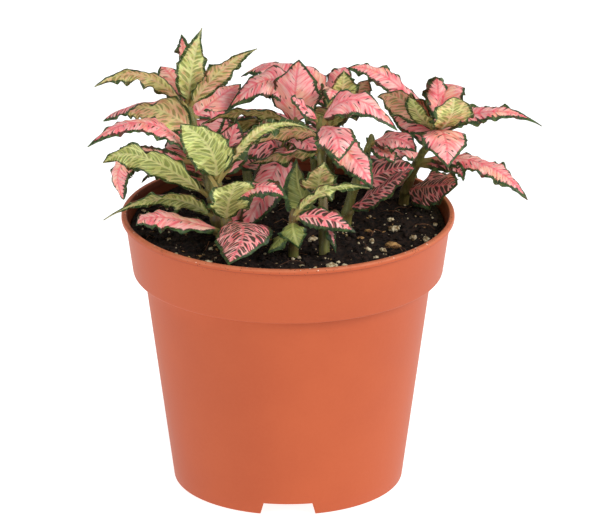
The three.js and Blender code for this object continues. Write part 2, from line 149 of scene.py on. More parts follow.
world = bpy.data.worlds.new("surround")
world.use_nodes = True
surround = world.node_tree.nodes["Background"]
surround.inputs["Color"].default_value = (1, 1, 1, 1)
seen = add_node(world.node_tree, "ShaderNodeLightPath").outputs["Is Camera Ray"]
brightness = {"Value": seen, "To Min": SURROUND_LIGHT, "To Max": SURROUND_SEEN}
glow = add_node(world.node_tree, "ShaderNodeMapRange", brightness)
world.node_tree.links.new(glow.outputs["Result"], surround.inputs["Strength"])
bpy.context.scene.world = world

for name, (place, watts) in SOFTBOXES.items():
    softbox = bpy.data.objects.new(name, bpy.data.lights.new(name, "AREA"))
    softbox.data.size = SOFTBOX_SIZE
    softbox.data.energy = watts
    softbox.location = place
    softbox.rotation_euler = (aim - place).to_track_quat("-Z", "Y").to_euler()
    bpy.context.scene.collection.objects.link(softbox)


# Pot: a nursery pot of terracotta-coloured polypropylene, injection moulded in one piece. Its thin wall
# steps out to a wide collar with a rounded lip, and its foot ring is notched and its floor holed for water.
POT_HEIGHT = 0.101
RIM_RADIUS = 0.060
LIP_TALL = 0.002
LIP_WIDE = 0.0019
COLLAR_TOP_RADIUS = 0.0586
COLLAR_LOW_RADIUS = 0.0558
STEP_Z = 0.079
BODY_TOP_RADIUS = 0.0519
BASE_RADIUS = 0.0414
WALL = 0.0011
CHANNEL_LIFT = 0.0052
CHANNEL_SLOPE = 0.0025
CENTRE_PAD_RADIUS = 0.019
FOOT_WIDE = 0.0017
GATE_RADIUS = 0.0016
GATE_FLARE = 1.3
GATE_DEEP = 0.0005
GATE_ROUND = 0.0003
EDGE_ROUND = 0.0006
BEND_ROUND = 0.001
FOOT_INNER_ROUND = 0.0004
FOOT_OUTER_ROUND = 0.0009
STEP_ROUND = 0.0011
LIP_UNDER_ROUND = 0.0005
LIP_TOP_ROUND = 0.0008
POT_SIDES = 216
WALL_RINGS = 12
CORNER_STEPS = 4
NOTCH_COUNT = 3
NOTCH_WIDE_LOW = 0.020
NOTCH_WIDE_HIGH = 0.0175
NOTCH_TALL = 0.0046
NOTCH_DEEP = 0.010
DRAIN_COUNT = 6
DRAIN_RADIUS = 0.0035
DRAIN_RING_RADIUS = 0.031
DRAIN_SIDES = 40
CUT_OVERRUN = 0.00025
CUT_EDGE_ROUND = 0.00025
CUT_EDGE_ANGLE = math.radians(50)
SHARP_ANGLE = math.radians(40)


def from_screen(red, green, blue):
    """A colour as it shows on a screen, from 0 to 255, as the linear colour that a shader takes."""
    linear = []
    for value in (red / 255, green / 255, blue / 255):
        linear.append(value / 12.92 if value <= 0.04045 else ((value + 0.055) / 1.055) ** 2.4)
    return (*linear, 1)


def calculate(tree, operation, *values):
    """A number worked out from one to three numbers."""
    return add_node(tree, "ShaderNodeMath", dict(enumerate(values)), operation=operation).outputs[0]


def between(tree, share, low, high):
    """A number that goes from low to high while the share goes from 0 to 1."""
    return calculate(tree, "MULTIPLY_ADD", share, high - low, low)


def grade(tree, value, start, end):
    """0 up to the start value, 1 from the end value on, and a smooth change between them."""
    inputs = {"Value": value, "From Min": start, "From Max": end}
    return add_node(tree, "ShaderNodeMapRange", inputs, interpolation_type="SMOOTHSTEP").outputs["Result"]


def mix_colour(tree, factor, first, second):
    """The first colour where the factor is 0 and the second where it is 1."""
    # Inputs 6 and 7 and output 2 are this node's colour sockets.
    node = add_node(tree, "ShaderNodeMix", {0: factor, 6: first, 7: second}, data_type="RGBA")
    return node.outputs[2]


def layer(tree, under, over, mask, strength=1.0):
    """A colour laid over another, as thick as the mask times the strength."""
    return mix_colour(tree, calculate(tree, "MULTIPLY", mask, strength), under, over)


def object_place(tree):
    """The place on an object, in metres."""
    return add_node(tree, "ShaderNodeTexCoord").outputs["Object"]


def cloud(tree, place, scale, detail=3.0, roughness=0.55):
    """A soft noise from 0 to 1, with its scale in patches a unit of the place."""
    inputs = {"Vector": place, "Scale": scale, "Detail": detail, "Roughness": roughness}
    return add_node(tree, "ShaderNodeTexNoise", inputs).outputs["Fac"]


def add_relief(tree, shader, height, distance, strength):
    """Relief that is too fine for the mesh, so many metres high."""
    relief = {"Height": height, "Distance": distance, "Strength": strength}
    bump = add_node(tree, "ShaderNodeBump", relief)
    tree.links.new(bump.outputs["Normal"], shader.inputs["Normal"])


def new_group(name, inputs, outputs):
    """A shader node group with the named sockets. Returns it with its input and output nodes."""
    group = bpy.data.node_groups.new(name, "ShaderNodeTree")
    for label, kind in inputs.items():
        group.interface.new_socket(label, in_out="INPUT", socket_type=kind)
    for label, kind in outputs.items():
        group.interface.new_socket(label, in_out="OUTPUT", socket_type=kind)
    return group, group.nodes.new("NodeGroupInput"), group.nodes.new("NodeGroupOutput")


def put_out(group, wanted, results):
    """Links what a node group has worked out to its outputs."""
    for label, result in results.items():
        group.links.new(result, wanted.inputs[label])


def use_group(tree, group, inputs):
    """The outputs of a node group that is placed in a material with its own values."""
    return add_node(tree, "ShaderNodeGroup", inputs, node_tree=group).outputs


# Soil specks: round specks that are scattered evenly and are larger where the amount is high. Their sizes
# are shares of the space between two specks.
SPECK_PATCHES_A_METRE = 90.0
SPECK_RADIUS = 0.55
SPECK_CORE = 0.6

speck_group, given, wanted = new_group(
    "soil_specks",
    {"Place": "NodeSocketVector", "Specks a metre": "NodeSocketFloat", "Amount": "NodeSocketFloat"},
    {"Specks": "NodeSocketFloat"},
)
speck_place = given.outputs["Place"]
cells = add_node(
    speck_group, "ShaderNodeTexVoronoi", {"Vector": speck_place, "Scale": given.outputs["Specks a metre"]}
)
patches = cloud(speck_group, speck_place, SPECK_PATCHES_A_METRE)
reach = calculate(speck_group, "MULTIPLY", given.outputs["Amount"], patches)
radius = calculate(speck_group, "MULTIPLY", reach, SPECK_RADIUS)
core_radius = calculate(speck_group, "MULTIPLY", radius, SPECK_CORE)
specks = grade(speck_group, cells.outputs["Distance"], radius, core_radius)
put_out(speck_group, wanted, {"Specks": specks})


def rounded_outline(corners):
    """Points along an outline of (radius, height, rounding) corners, with an arc at each round corner."""
    points = []
    for i, (radius, height, rounding) in enumerate(corners):
        corner = Vector((radius, height))
        if rounding == 0:
            points.append(corner)
            continue
        before = (Vector(corners[i - 1][:2]) - corner).normalized()
        after = (Vector(corners[i + 1][:2]) - corner).normalized()
        half_angle = before.angle(after) / 2
        reach = rounding / math.tan(half_angle)
        centre = corner + (before + after).normalized() * (rounding / math.sin(half_angle))
        first = corner + before * reach - centre
        last = corner + after * reach - centre
        for k in range(CORNER_STEPS + 1):
            points.append(centre + first.slerp(last, k / CORNER_STEPS) * rounding)
    return points


def steps_between(low, high, count):
    """Outline corners evenly spaced between two others, so that a cut's long faces end near it."""
    ends = Vector(low), Vector(high)
    return [(*ends[0].lerp(ends[1], (i + 1) / (count + 1)), 0) for i in range(count)]


def turned(points, sides):
    """A closed body turned about the Z axis, from an outline that starts and ends on the axis."""
    body = bmesh.new()
    rings = []
    for point in points:
        if point.x == 0:
            rings.append([body.verts.new((0, 0, point.y))])
            continue
        ring = []
        for k in range(sides):
            angle = 2 * math.pi * k / sides
            ring.append(body.verts.new((point.x * math.cos(angle), point.x * math.sin(angle), point.y)))
        rings.append(ring)
    for low, high in zip(rings, rings[1:]):
        for k in range(sides):
            following = (k + 1) % sides
            corners = [low[k % len(low)], low[following % len(low)]]
            corners += [high[following % len(high)], high[k % len(high)]]
            body.faces.new(list(dict.fromkeys(corners)))
    bmesh.ops.recalc_face_normals(body, faces=body.faces)
    return body


def finished_mesh(made, name):
    """The mesh of an object with its modifiers applied; the object itself is removed."""
    seen = made.evaluated_get(bpy.context.evaluated_depsgraph_get())
    mesh = bpy.data.meshes.new_from_object(seen)
    mesh.name = name
    bpy.data.objects.remove(made)
    return mesh


# The outline runs from the gate mark under the base up the outer face, over the lip and back down inside.
taper = (BODY_TOP_RADIUS - BASE_RADIUS) / STEP_Z
lip_z = POT_HEIGHT - LIP_TALL
floor_z = CHANNEL_LIFT + WALL
pot_outline = [
    (0, GATE_DEEP, 0),
    (GATE_RADIUS, GATE_DEEP, GATE_ROUND),
    (GATE_RADIUS * GATE_FLARE, 0, GATE_ROUND),
    (CENTRE_PAD_RADIUS, 0, EDGE_ROUND),
    (CENTRE_PAD_RADIUS + CHANNEL_SLOPE, CHANNEL_LIFT, BEND_ROUND),
    (BASE_RADIUS - FOOT_WIDE, CHANNEL_LIFT, EDGE_ROUND),
    (BASE_RADIUS - FOOT_WIDE, 0, FOOT_INNER_ROUND),
    (BASE_RADIUS, 0, FOOT_OUTER_ROUND),
    *steps_between((BASE_RADIUS, 0), (BODY_TOP_RADIUS, STEP_Z), WALL_RINGS),
    (BODY_TOP_RADIUS, STEP_Z, EDGE_ROUND),
    (COLLAR_LOW_RADIUS, STEP_Z, STEP_ROUND),
    (COLLAR_TOP_RADIUS, lip_z, LIP_UNDER_ROUND),
    (RIM_RADIUS, lip_z, LIP_UNDER_ROUND),
    (RIM_RADIUS, POT_HEIGHT, LIP_TOP_ROUND),
    (RIM_RADIUS - LIP_WIDE, POT_HEIGHT, EDGE_ROUND),
    (COLLAR_TOP_RADIUS - WALL, lip_z, EDGE_ROUND),
    (COLLAR_LOW_RADIUS - WALL, STEP_Z + WALL, BEND_ROUND),
    (BODY_TOP_RADIUS - WALL, STEP_Z + WALL, EDGE_ROUND),
    (BASE_RADIUS - WALL + taper * floor_z, floor_z, BEND_ROUND),
    (CENTRE_PAD_RADIUS + CHANNEL_SLOPE - WALL / 2, floor_z, BEND_ROUND),
    (CENTRE_PAD_RADIUS - WALL / 2, WALL, EDGE_ROUND),
    (0, WALL, 0),
]
pot_mesh = bpy.data.meshes.new("pot_uncut")
turned(rounded_outline(pot_outline), POT_SIDES).to_mesh(pot_mesh)
uncut_pot = link_object("uncut_pot", pot_mesh)

cutters = bmesh.new()
for i in range(NOTCH_COUNT):
    turn = Matrix.Rotation(2 * math.pi * i / NOTCH_COUNT, 4, "Z")
    notch = bmesh.ops.create_cube(cutters, size=1)["verts"]
    for vertex in notch:
        high = vertex.co.z > 0
        wide = NOTCH_WIDE_HIGH if high else NOTCH_WIDE_LOW
        z = NOTCH_TALL if high else -CUT_OVERRUN
        vertex.co = turn @ Vector((vertex.co.x * wide, vertex.co.y * NOTCH_DEEP - BASE_RADIUS, z))
for i in range(DRAIN_COUNT):
    angle = 2 * math.pi * (i + 0.5) / DRAIN_COUNT
    place = Vector((DRAIN_RING_RADIUS * math.cos(angle), DRAIN_RING_RADIUS * math.sin(angle), CHANNEL_LIFT))
    bmesh.ops.create_cone(
        cutters,
        cap_ends=True,
        segments=DRAIN_SIDES,
        radius1=DRAIN_RADIUS,
        radius2=DRAIN_RADIUS,
        depth=4 * WALL,
        matrix=Matrix.Translation(place),
    )
cutter_mesh = bpy.data.meshes.new("pot_cutters")
cutters.to_mesh(cutter_mesh)
cutter = link_object("pot_cutters", cutter_mesh)
cut = uncut_pot.modifiers.new("openings", "BOOLEAN")
cut.object = cutter
cut.operation = "DIFFERENCE"
cut.solver = "EXACT"
soften = uncut_pot.modifiers.new("cut_edges", "BEVEL")
soften.width = CUT_EDGE_ROUND
soften.segments = 2
soften.limit_method = "ANGLE"
soften.angle_limit = CUT_EDGE_ANGLE
pot_mesh = finished_mesh(uncut_pot, "moulded_pot")
bpy.data.objects.remove(cutter)
pot_mesh.shade_smooth()
pot_mesh.set_sharp_from_angle(angle=SHARP_ANGLE)

# The plastic is hardly mottled. The top of the lip is rubbed pale and has a painted highlight, the crease
# under it has painted shade, and the inside of the collar is darkened with painted shade. The bands are
# measured down from the top of the lip, and the scales are patches a metre.
PLASTIC_DEEP = from_screen(175, 80, 46)
PLASTIC_WARM = from_screen(182, 86, 50)
PLASTIC_FLECK = from_screen(200, 108, 72)
RUBBED_PALE_AND_HIGHLIGHT = from_screen(222, 140, 104)
CREASE_SHADE_BROWN = from_screen(128, 46, 26)
WALL_SHADE = from_screen(84, 44, 30)
SOIL_SPECK = from_screen(58, 36, 26)
DUST_PALE = from_screen(240, 214, 190)
MOTTLE_SCALE = 22.0
FINE_MOTTLE_SCALE = 900.0
RUB_AND_HIGHLIGHT_SCALE = 260.0
SPECK_SCALE = 1100.0
DUST_SCALE = 420.0
SPECK_BAND = 0.007
RUB_AND_HIGHLIGHT_BAND = 0.0012
RUB_AND_HIGHLIGHT_FULL = 0.0002
LIP_CREASE_HALF = 0.0005
LIP_CREASE_FULL = 0.0002
PLASTIC_ROUGHNESS = (0.4, 0.56)

plastic, tree, shader = new_material("terracotta_plastic", {"Specular IOR Level": 0.2})
place = object_place(tree)
apart = add_node(tree, "ShaderNodeSeparateXYZ", {"Vector": place}).outputs
height = apart["Z"]
mottle = cloud(tree, place, MOTTLE_SCALE, detail=4.0)
fine_mottle = cloud(tree, place, FINE_MOTTLE_SCALE, detail=2.0)
plain = mix_colour(tree, grade(tree, mottle, 0.3, 0.7), PLASTIC_DEEP, PLASTIC_WARM)
plain = layer(tree, plain, PLASTIC_FLECK, fine_mottle, 0.16)

near_lip = grade(tree, height, POT_HEIGHT - SPECK_BAND, POT_HEIGHT)
# Painted highlight: the top of the lip is made paler, partly as rubbed wear and partly as a highlight.
lip_top = grade(tree, height, POT_HEIGHT - RUB_AND_HIGHLIGHT_BAND, POT_HEIGHT - RUB_AND_HIGHLIGHT_FULL)
wear_and_sheen = between(tree, cloud(tree, place, RUB_AND_HIGHLIGHT_SCALE), 0.1, 1.0)
rubbed_and_highlit = calculate(tree, "MULTIPLY", lip_top, wear_and_sheen)
# Painted shade: a dark line in the crease under the lip, where the lip shades the collar.
from_crease = calculate(tree, "ABSOLUTE", calculate(tree, "SUBTRACT", height, lip_z))
crease = grade(tree, from_crease, LIP_CREASE_HALF, LIP_CREASE_FULL)

squares = [calculate(tree, "MULTIPLY", apart[axis], apart[axis]) for axis in ("X", "Y")]
out_from_axis = calculate(tree, "SQRT", calculate(tree, "ADD", *squares))
collar_flare = (COLLAR_TOP_RADIUS - COLLAR_LOW_RADIUS) / (lip_z - STEP_Z)
above_step = calculate(tree, "SUBTRACT", height, STEP_Z)
collar_radius = calculate(tree, "MULTIPLY_ADD", above_step, collar_flare, COLLAR_LOW_RADIUS)
in_from_collar = calculate(tree, "SUBTRACT", collar_radius, out_from_axis)
inner_face = grade(tree, in_from_collar, WALL * 0.35, WALL * 0.75)
inside = calculate(tree, "MULTIPLY", inner_face, grade(tree, above_step, WALL, WALL * 2))
# Painted shade: the inside of the collar is darkened, in patches that follow the mottle.
wall_shade = calculate(tree, "MULTIPLY", inside, between(tree, mottle, 0.5, 1.0))

speck_amount = calculate(tree, "MULTIPLY", near_lip, 0.75)
soil = use_group(tree, speck_group, {"Place": place, "Specks a metre": SPECK_SCALE, "Amount": speck_amount})
dust_amount = calculate(tree, "MULTIPLY", rubbed_and_highlit, 0.9)
dust = use_group(tree, speck_group, {"Place": place, "Specks a metre": DUST_SCALE, "Amount": dust_amount})
# Painted highlight on the lip top, painted shade in the crease and inside the collar, then soil specks and
# dust.
soiled_and_painted_light = layer(tree, plain, RUBBED_PALE_AND_HIGHLIGHT, rubbed_and_highlit, 0.7)
soiled_and_painted_light = layer(tree, soiled_and_painted_light, CREASE_SHADE_BROWN, crease, 0.6)
soiled_and_painted_light = layer(tree, soiled_and_painted_light, WALL_SHADE, wall_shade)
soiled_and_painted_light = layer(tree, soiled_and_painted_light, SOIL_SPECK, soil["Specks"])
soiled_and_painted_light = layer(tree, soiled_and_painted_light, DUST_PALE, dust["Specks"])
tree.links.new(soiled_and_painted_light, shader.inputs["Base Color"])
tree.links.new(between(tree, mottle, *PLASTIC_ROUGHNESS), shader.inputs["Roughness"])
moulded_skin = calculate(tree, "ADD", fine_mottle, calculate(tree, "MULTIPLY", mottle, 2.0))
add_relief(tree, shader, moulded_skin, distance=0.00008, strength=0.25)

pot_mesh.materials.clear()
pot_mesh.materials.append(plastic)
pot = link_object("nursery_pot", pot_mesh)
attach(pot, "root")
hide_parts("pot")


# Potting mix: damp peat pressed into the pot to just under the rim, a crumbly heap with perlite, bark chips
# and root fibres in it. It is one body that fills the pot, with the loose bits resting in its top.
SOIL_Z = 0.095
SOIL_RADIUS = 0.0564
SOIL_GAP = 0.00035
HEAP_RINGS = 120
HEAP_SIDES = 300
HUMP_TALL = 0.0009
HUMP_WAVES = (160, 130)
HUMP_SHIFT = 1.1
RIPPLE_TALL = 0.0004
RIPPLE_WAVES = (200, 170)
WALL_RISE = 0.002
CRUMBLE_TALL = 0.0011
CRUMBLE_FADE = 0.002
LUMPS_A_METRE = 260
LUMP_SHARE = 0.8
GRAINS_A_METRE = 420
GRAIN_SHARE = 0.55
GRAIN_FADE = 0.9
GRAIN_FINER = 2.1
GRAIN_LEVELS = 4


def heap_height(x, y):
    """The height of the mix, apart from its crumbs: low humps, banked up a little against the wall."""
    hump = HUMP_TALL * math.sin(HUMP_WAVES[0] * x + HUMP_SHIFT) * math.cos(HUMP_WAVES[1] * y)
    ripple = RIPPLE_TALL * math.sin(RIPPLE_WAVES[0] * x - RIPPLE_WAVES[1] * y)
    return SOIL_Z + hump + ripple + WALL_RISE * (math.hypot(x, y) / RIM_RADIUS) ** 4


def crumbled_height(x, y):
    """The height of the mix with its crumbs and hollows, which fade out at the wall."""
    place = Vector((x, y, 0))
    lumps = 0.5 - noise.voronoi(place * LUMPS_A_METRE)[0][0]
    grains = noise.fractal(place * GRAINS_A_METRE, GRAIN_FADE, GRAIN_FINER, GRAIN_LEVELS)
    edge = min(1, (SOIL_RADIUS - math.hypot(x, y)) / CRUMBLE_FADE)
    return heap_height(x, y) + edge * CRUMBLE_TALL * (LUMP_SHARE * lumps + GRAIN_SHARE * grains)


def mix_outline():
    """The outline of the mix below its top, from the wall down to the middle of the pot's floor."""
    ledge_z = STEP_Z + WALL + SOIL_GAP
    under_z = CHANNEL_LIFT + WALL + SOIL_GAP
    pad_radius = CENTRE_PAD_RADIUS - WALL / 2 - SOIL_GAP
    return [
        (COLLAR_LOW_RADIUS - WALL - SOIL_GAP, ledge_z),
        (BODY_TOP_RADIUS - WALL - SOIL_GAP, ledge_z),
        (BASE_RADIUS - WALL + taper * floor_z - SOIL_GAP, under_z),
        (pad_radius + CHANNEL_SLOPE, under_z),
        (pad_radius, WALL + SOIL_GAP),
        (0, WALL + SOIL_GAP),
    ]


def mineral_finish(name, dark, light, roughness, patches_a_metre, relief):
    """A dull rough finish in two colours that change in patches, for what lies in the mix."""
    material, tree, shader = new_material(name, {"Roughness": roughness, "Specular IOR Level": 0.25})
    place = object_place(tree)
    tone = grade(tree, cloud(tree, place, patches_a_metre, detail=4.0), 0.35, 0.68)
    tree.links.new(mix_colour(tree, tone, dark, light), shader.inputs["Base Color"])
    pits = cloud(tree, place, patches_a_metre * 3, detail=5.0)
    add_relief(tree, shader, pits, distance=relief, strength=0.8)
    return material


def add_to_mix(name, mesh, finish):
    """A part of the mix, which stands for the mix's solid."""
    mesh.materials.append(finish)
    made = link_object(name, mesh)
    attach(made, "root")
    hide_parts("potting_mix")


peat_finish = mineral_finish(
    "damp_peat",
    dark=from_screen(5, 3, 3),
    light=from_screen(48, 32, 24),
    roughness=0.85,
    patches_a_metre=700.0,
    relief=0.0005,
)
top_rings = [Vector((SOIL_RADIUS * i / HEAP_RINGS, SOIL_Z)) for i in range(HEAP_RINGS + 1)]
heap = turned(top_rings + [Vector(point) for point in mix_outline()], HEAP_SIDES)
for vertex in heap.verts:
    in_top = vertex.co.z > (STEP_Z + SOIL_Z) / 2
    if in_top:
        vertex.co.z = crumbled_height(vertex.co.x, vertex.co.y)
heap_mesh = bpy.data.meshes.new("peat_heap")
heap.to_mesh(heap_mesh)
heap_mesh.shade_smooth()
add_to_mix("peat_heap", heap_mesh, peat_finish)


# Crumbs: small lumps of the same peat that broke off as the pot was filled. They lie loose on the heap, and
# few of them are large.
LUMP_FIELD_RADIUS = 0.0545
CRUMB_COUNT = 1500
CRUMB_SEED = 5
CRUMB_SMALLEST = 0.0003
CRUMB_SPREAD = 0.0011
CRUMB_POWER = 2.6
CRUMB_LIFT = 0.15
CRUMB_ROUGH = 0.9
DENTS_A_RADIUS = 1.7
DENT_SPREAD = 9000
STRAND_END = 0.35


def ball_template(subdivisions):
    """The corners and faces of a ball of radius 1, to make many small lumps from."""
    ball = bmesh.new()
    bmesh.ops.create_icosphere(ball, subdivisions=subdivisions, radius=1)
    corners = [vertex.co.copy() for vertex in ball.verts]
    faces = [[vertex.index for vertex in face.verts] for face in ball.faces]
    return corners, faces


def tube_faces(start, rings, sides):
    """The faces of a tube that is shut at both ends, with its corners numbered ring by ring."""
    faces = [[start + k for k in reversed(range(sides))]]
    for i in range(rings - 1):
        for k in range(sides):
            here = start + i * sides + k
            following = start + i * sides + (k + 1) % sides
            faces.append([here, following, following + sides, here + sides])
    last = start + (rings - 1) * sides
    faces.append([last + k for k in range(sides)])
    return faces


class Heaped:
    """Gathers many small lumps or strands in one mesh."""

    def __init__(self):
        self.corners = []
        self.faces = []

    def lump(self, place, size, shape, turn, rough, template):
        """A ball, stretched to three shares of the size, turned, and dented by a share of its radius."""
        start = len(self.corners)
        long, wide, tall = (size * share for share in shape)
        for corner in template[0]:
            uneven = 1 + rough * noise.noise(corner * DENTS_A_RADIUS + place * DENT_SPREAD)
            stretched = Vector((corner.x * long, corner.y * wide, corner.z * tall)) * uneven
            self.corners.append(place + turn @ stretched)
        for face in template[1]:
            self.faces.append([start + k for k in face])

    def strand(self, points, radius, sides):
        """A closed tube along the points, narrowed towards both ends."""
        start = len(self.corners)
        for i, point in enumerate(points):
            along = (points[min(i + 1, len(points) - 1)] - points[max(i - 1, 0)]).normalized()
            side = along.cross(Vector((0, 0, 1))).normalized()
            up = side.cross(along)
            swell = math.sin(math.pi * (i + 0.5) / len(points))
            thick = radius * (STRAND_END + (1 - STRAND_END) * swell)
            for k in range(sides):
                angle = 2 * math.pi * k / sides
                self.corners.append(point + (side * math.cos(angle) + up * math.sin(angle)) * thick)
        self.faces += tube_faces(start, len(points), sides)

    def mesh(self, name):
        """One smooth mesh of all that is gathered."""
        made = new_mesh(name, self.corners, self.faces)
        made.shade_smooth()
        return made


def random_turn(draw):
    """A turn about the upright, with a little lean."""
    lean = Matrix.Rotation(draw.uniform(-0.6, 0.6), 3, "X")
    return Matrix.Rotation(draw.uniform(0, 2 * math.pi), 3, "Z") @ lean


def random_place(draw, field_radius):
    """A place in a round field, evenly spread."""
    angle = draw.uniform(0, 2 * math.pi)
    radius = field_radius * math.sqrt(draw.random())
    return radius * math.cos(angle), radius * math.sin(angle)


def random_shape(draw, long=1):
    """Three shares of a lump's size: as long as given, not so wide, and less tall."""
    return long, draw.uniform(0.6, 1), draw.uniform(0.5, 0.9)


def on_heap(x, y, lift):
    """A place a little above the crumbled top of the mix."""
    return Vector((x, y, crumbled_height(x, y) + lift))


small_ball = ball_template(2)
draw = random.Random(CRUMB_SEED)
crumbs = Heaped()
for _ in range(CRUMB_COUNT):
    x, y = random_place(draw, LUMP_FIELD_RADIUS)
    radius = CRUMB_SMALLEST + CRUMB_SPREAD * draw.random() ** CRUMB_POWER
    shape = random_shape(draw)
    place = on_heap(x, y, radius * CRUMB_LIFT)
    crumbs.lump(place, radius, shape, random_turn(draw), CRUMB_ROUGH, small_ball)
add_to_mix("peat_crumbs", crumbs.mesh("peat_crumbs"), peat_finish)


# Perlite and bark: pale grains of puffed volcanic glass and chips of pine bark, stirred into the mix to air
# it. The bigger chips lie clear of the stems, where the solid mix has its own, and fine grit lies all over
# the heap. The last ones are those that show in front, most of them near the right-hand wall.
PLANTED = {
    "leafy_stem_left_tall": (-0.025, -0.008),
    "leafy_stem_left_front": (-0.021, -0.015),
    "leafy_stem_front_low": (0.002, -0.027),
    "leafy_stem_front_centre": (0.013, -0.028),
    "leafy_stem_right_low": (0.021, 0.006),
    "leafy_stem_right_tall": (0.042, 0.026),
    "leafy_stem_middle": (-0.008, 0.018),
    "leafy_stem_back_centre": (0.015, 0.03),
    "leafy_stem_back_left": (-0.014, 0.036),
    "leafy_stem_back_right": (0.01, 0.045),
    "leafy_stem_far_right": (0.03, 0.04),
}
CHIP_COUNT = 20
CHIP_SEED = 11
CHIP_SMALLEST = 0.0009
CHIP_SPREAD = 0.0015
CHIP_FIELD_RADIUS = 0.052
CHIP_CLEARANCE = 0.006
CHIP_FLATTEST = 0.5
CHIP_FLAT_SPREAD = 0.3
CHIP_LIFT = 0.2
BARK_CHIP_EVERY = 3
GRIT_COUNT = 380
GRIT_SEED = 23
GRIT_SMALLEST = 0.0002
GRIT_SPREAD = 0.0006
GRIT_POWER = 3
GRIT_LIFT = 0.5
BARK_GRIT_EVERY = 4
BARK_GRIT_LONG = 2.2
PERLITE_WIDE = 0.8
PERLITE_ROUGH = 0.7
BARK_LONG = 1.25
BARK_WIDE = 0.6
BARK_ROUGH = 0.5
SHOWN_PERLITE = [(0.0285, -0.0255, 0.0012), (0.045, -0.012, 0.0013), (0.0315, -0.032, 0.001)]
SHOWN_PERLITE += [(0.037, 0.004, 0.0011), (0.053, 0.001, 0.001), (-0.039, -0.034, 0.0008)]
SHOWN_PERLITE += [(0.02, -0.040, 0.001), (0.0495, -0.017, 0.0014), (-0.052, 0.012, 0.001)]
SHOWN_PERLITE_SHAPE = (1, PERLITE_WIDE, 0.7)
SHOWN_PERLITE_LIFT = 0.4
SHOWN_BARK = [(0.0375, -0.0195, 0.0028), (0.029, -0.004, 0.0014), (0.0375, -0.0045, 0.0016)]
SHOWN_BARK_SHAPE = (1, 0.45, 0.38)
SHOWN_BARK_LIFT = 0.25
SHOWN_BARK_TURN = Matrix.Rotation(-0.35, 3, "Z")
SHOWN_BARK_ROUGH = 0.45
BARK_DARK = from_screen(98, 62, 36)
BARK_LIGHT = from_screen(208, 164, 104)


def seeded_draw(seed):
    """Numbers from 0 to 1 in the same order in every run, by the rule that places the solid's chips."""
    state = seed
    while True:
        state = (state * 1664525 + 1013904223) % 4294967296
        yield state / 4294967296


def chips():
    """The bigger chips: places that are clear of the stems and the wall, sizes, flatness and turns."""
    drawn = seeded_draw(CHIP_SEED)
    made = []
    while len(made) < CHIP_COUNT:
        angle = 2 * math.pi * next(drawn)
        radius = CHIP_FIELD_RADIUS * math.sqrt(next(drawn))
        x, y = radius * math.cos(angle), radius * math.sin(angle)
        size = CHIP_SMALLEST + CHIP_SPREAD * next(drawn) ** 2
        flat = CHIP_FLATTEST + CHIP_FLAT_SPREAD * next(drawn)
        turn = math.pi * next(drawn)
        clear_of = [*PLANTED.values()] + [(chip[0], chip[1]) for chip in made]
        if all(math.hypot(x - a, y - b) > CHIP_CLEARANCE for a, b in clear_of):
            made.append((x, y, size, flat, turn))
    return made


fine_ball = ball_template(3)
perlite = Heaped()
bark = Heaped()
for i, (x, y, size, flat, turn) in enumerate(chips()):
    place = Vector((x, y, heap_height(x, y) + CHIP_LIFT * size))
    turning = Matrix.Rotation(turn, 3, "Z")
    if (i + 1) % BARK_CHIP_EVERY == 0:
        bark.lump(place, size, (BARK_LONG, BARK_WIDE, flat), turning, BARK_ROUGH, fine_ball)
    else:
        perlite.lump(place, size, (1, PERLITE_WIDE, flat), turning, PERLITE_ROUGH, fine_ball)

draw = random.Random(GRIT_SEED)
for i in range(GRIT_COUNT):
    x, y = random_place(draw, LUMP_FIELD_RADIUS)
    radius = GRIT_SMALLEST + GRIT_SPREAD * draw.random() ** GRIT_POWER
    place = on_heap(x, y, radius * GRIT_LIFT)
    if (i + 1) % BARK_GRIT_EVERY == 0:
        shape = random_shape(draw, BARK_GRIT_LONG)
        bark.lump(place, radius, shape, random_turn(draw), BARK_ROUGH, small_ball)
    else:
        perlite.lump(place, radius, random_shape(draw), random_turn(draw), PERLITE_ROUGH, small_ball)

for x, y, size in SHOWN_PERLITE:
    place = on_heap(x, y, size * SHOWN_PERLITE_LIFT)
    perlite.lump(place, size, SHOWN_PERLITE_SHAPE, random_turn(draw), PERLITE_ROUGH, fine_ball)
for x, y, size in SHOWN_BARK:
    place = on_heap(x, y, size * SHOWN_BARK_LIFT)
    bark.lump(place, size, SHOWN_BARK_SHAPE, SHOWN_BARK_TURN, SHOWN_BARK_ROUGH, fine_ball)

perlite_finish = mineral_finish(
    "perlite",
    dark=from_screen(124, 98, 60),
    light=from_screen(226, 212, 178),
    roughness=0.9,
    patches_a_metre=900.0,
    relief=0.0003,
)
add_to_mix("perlite_bits", perlite.mesh("perlite_bits"), perlite_finish)

# Grain: light and dark streaks that run along one axis of the thing they are on.
grain_group, given, wanted = new_group(
    "grain",
    {"Place": "NodeSocketVector", "Streaks a metre": "NodeSocketFloat", "Stretch": "NodeSocketVector"},
    {"Grain": "NodeSocketFloat"},
)
stretched = add_node(
    grain_group,
    "ShaderNodeVectorMath",
    {0: given.outputs["Place"], 1: given.outputs["Stretch"]},
    operation="MULTIPLY",
)
streaks = cloud(grain_group, stretched.outputs["Vector"], given.outputs["Streaks a metre"], detail=4.0)
put_out(grain_group, wanted, {"Grain": grade(grain_group, streaks, 0.3, 0.7)})

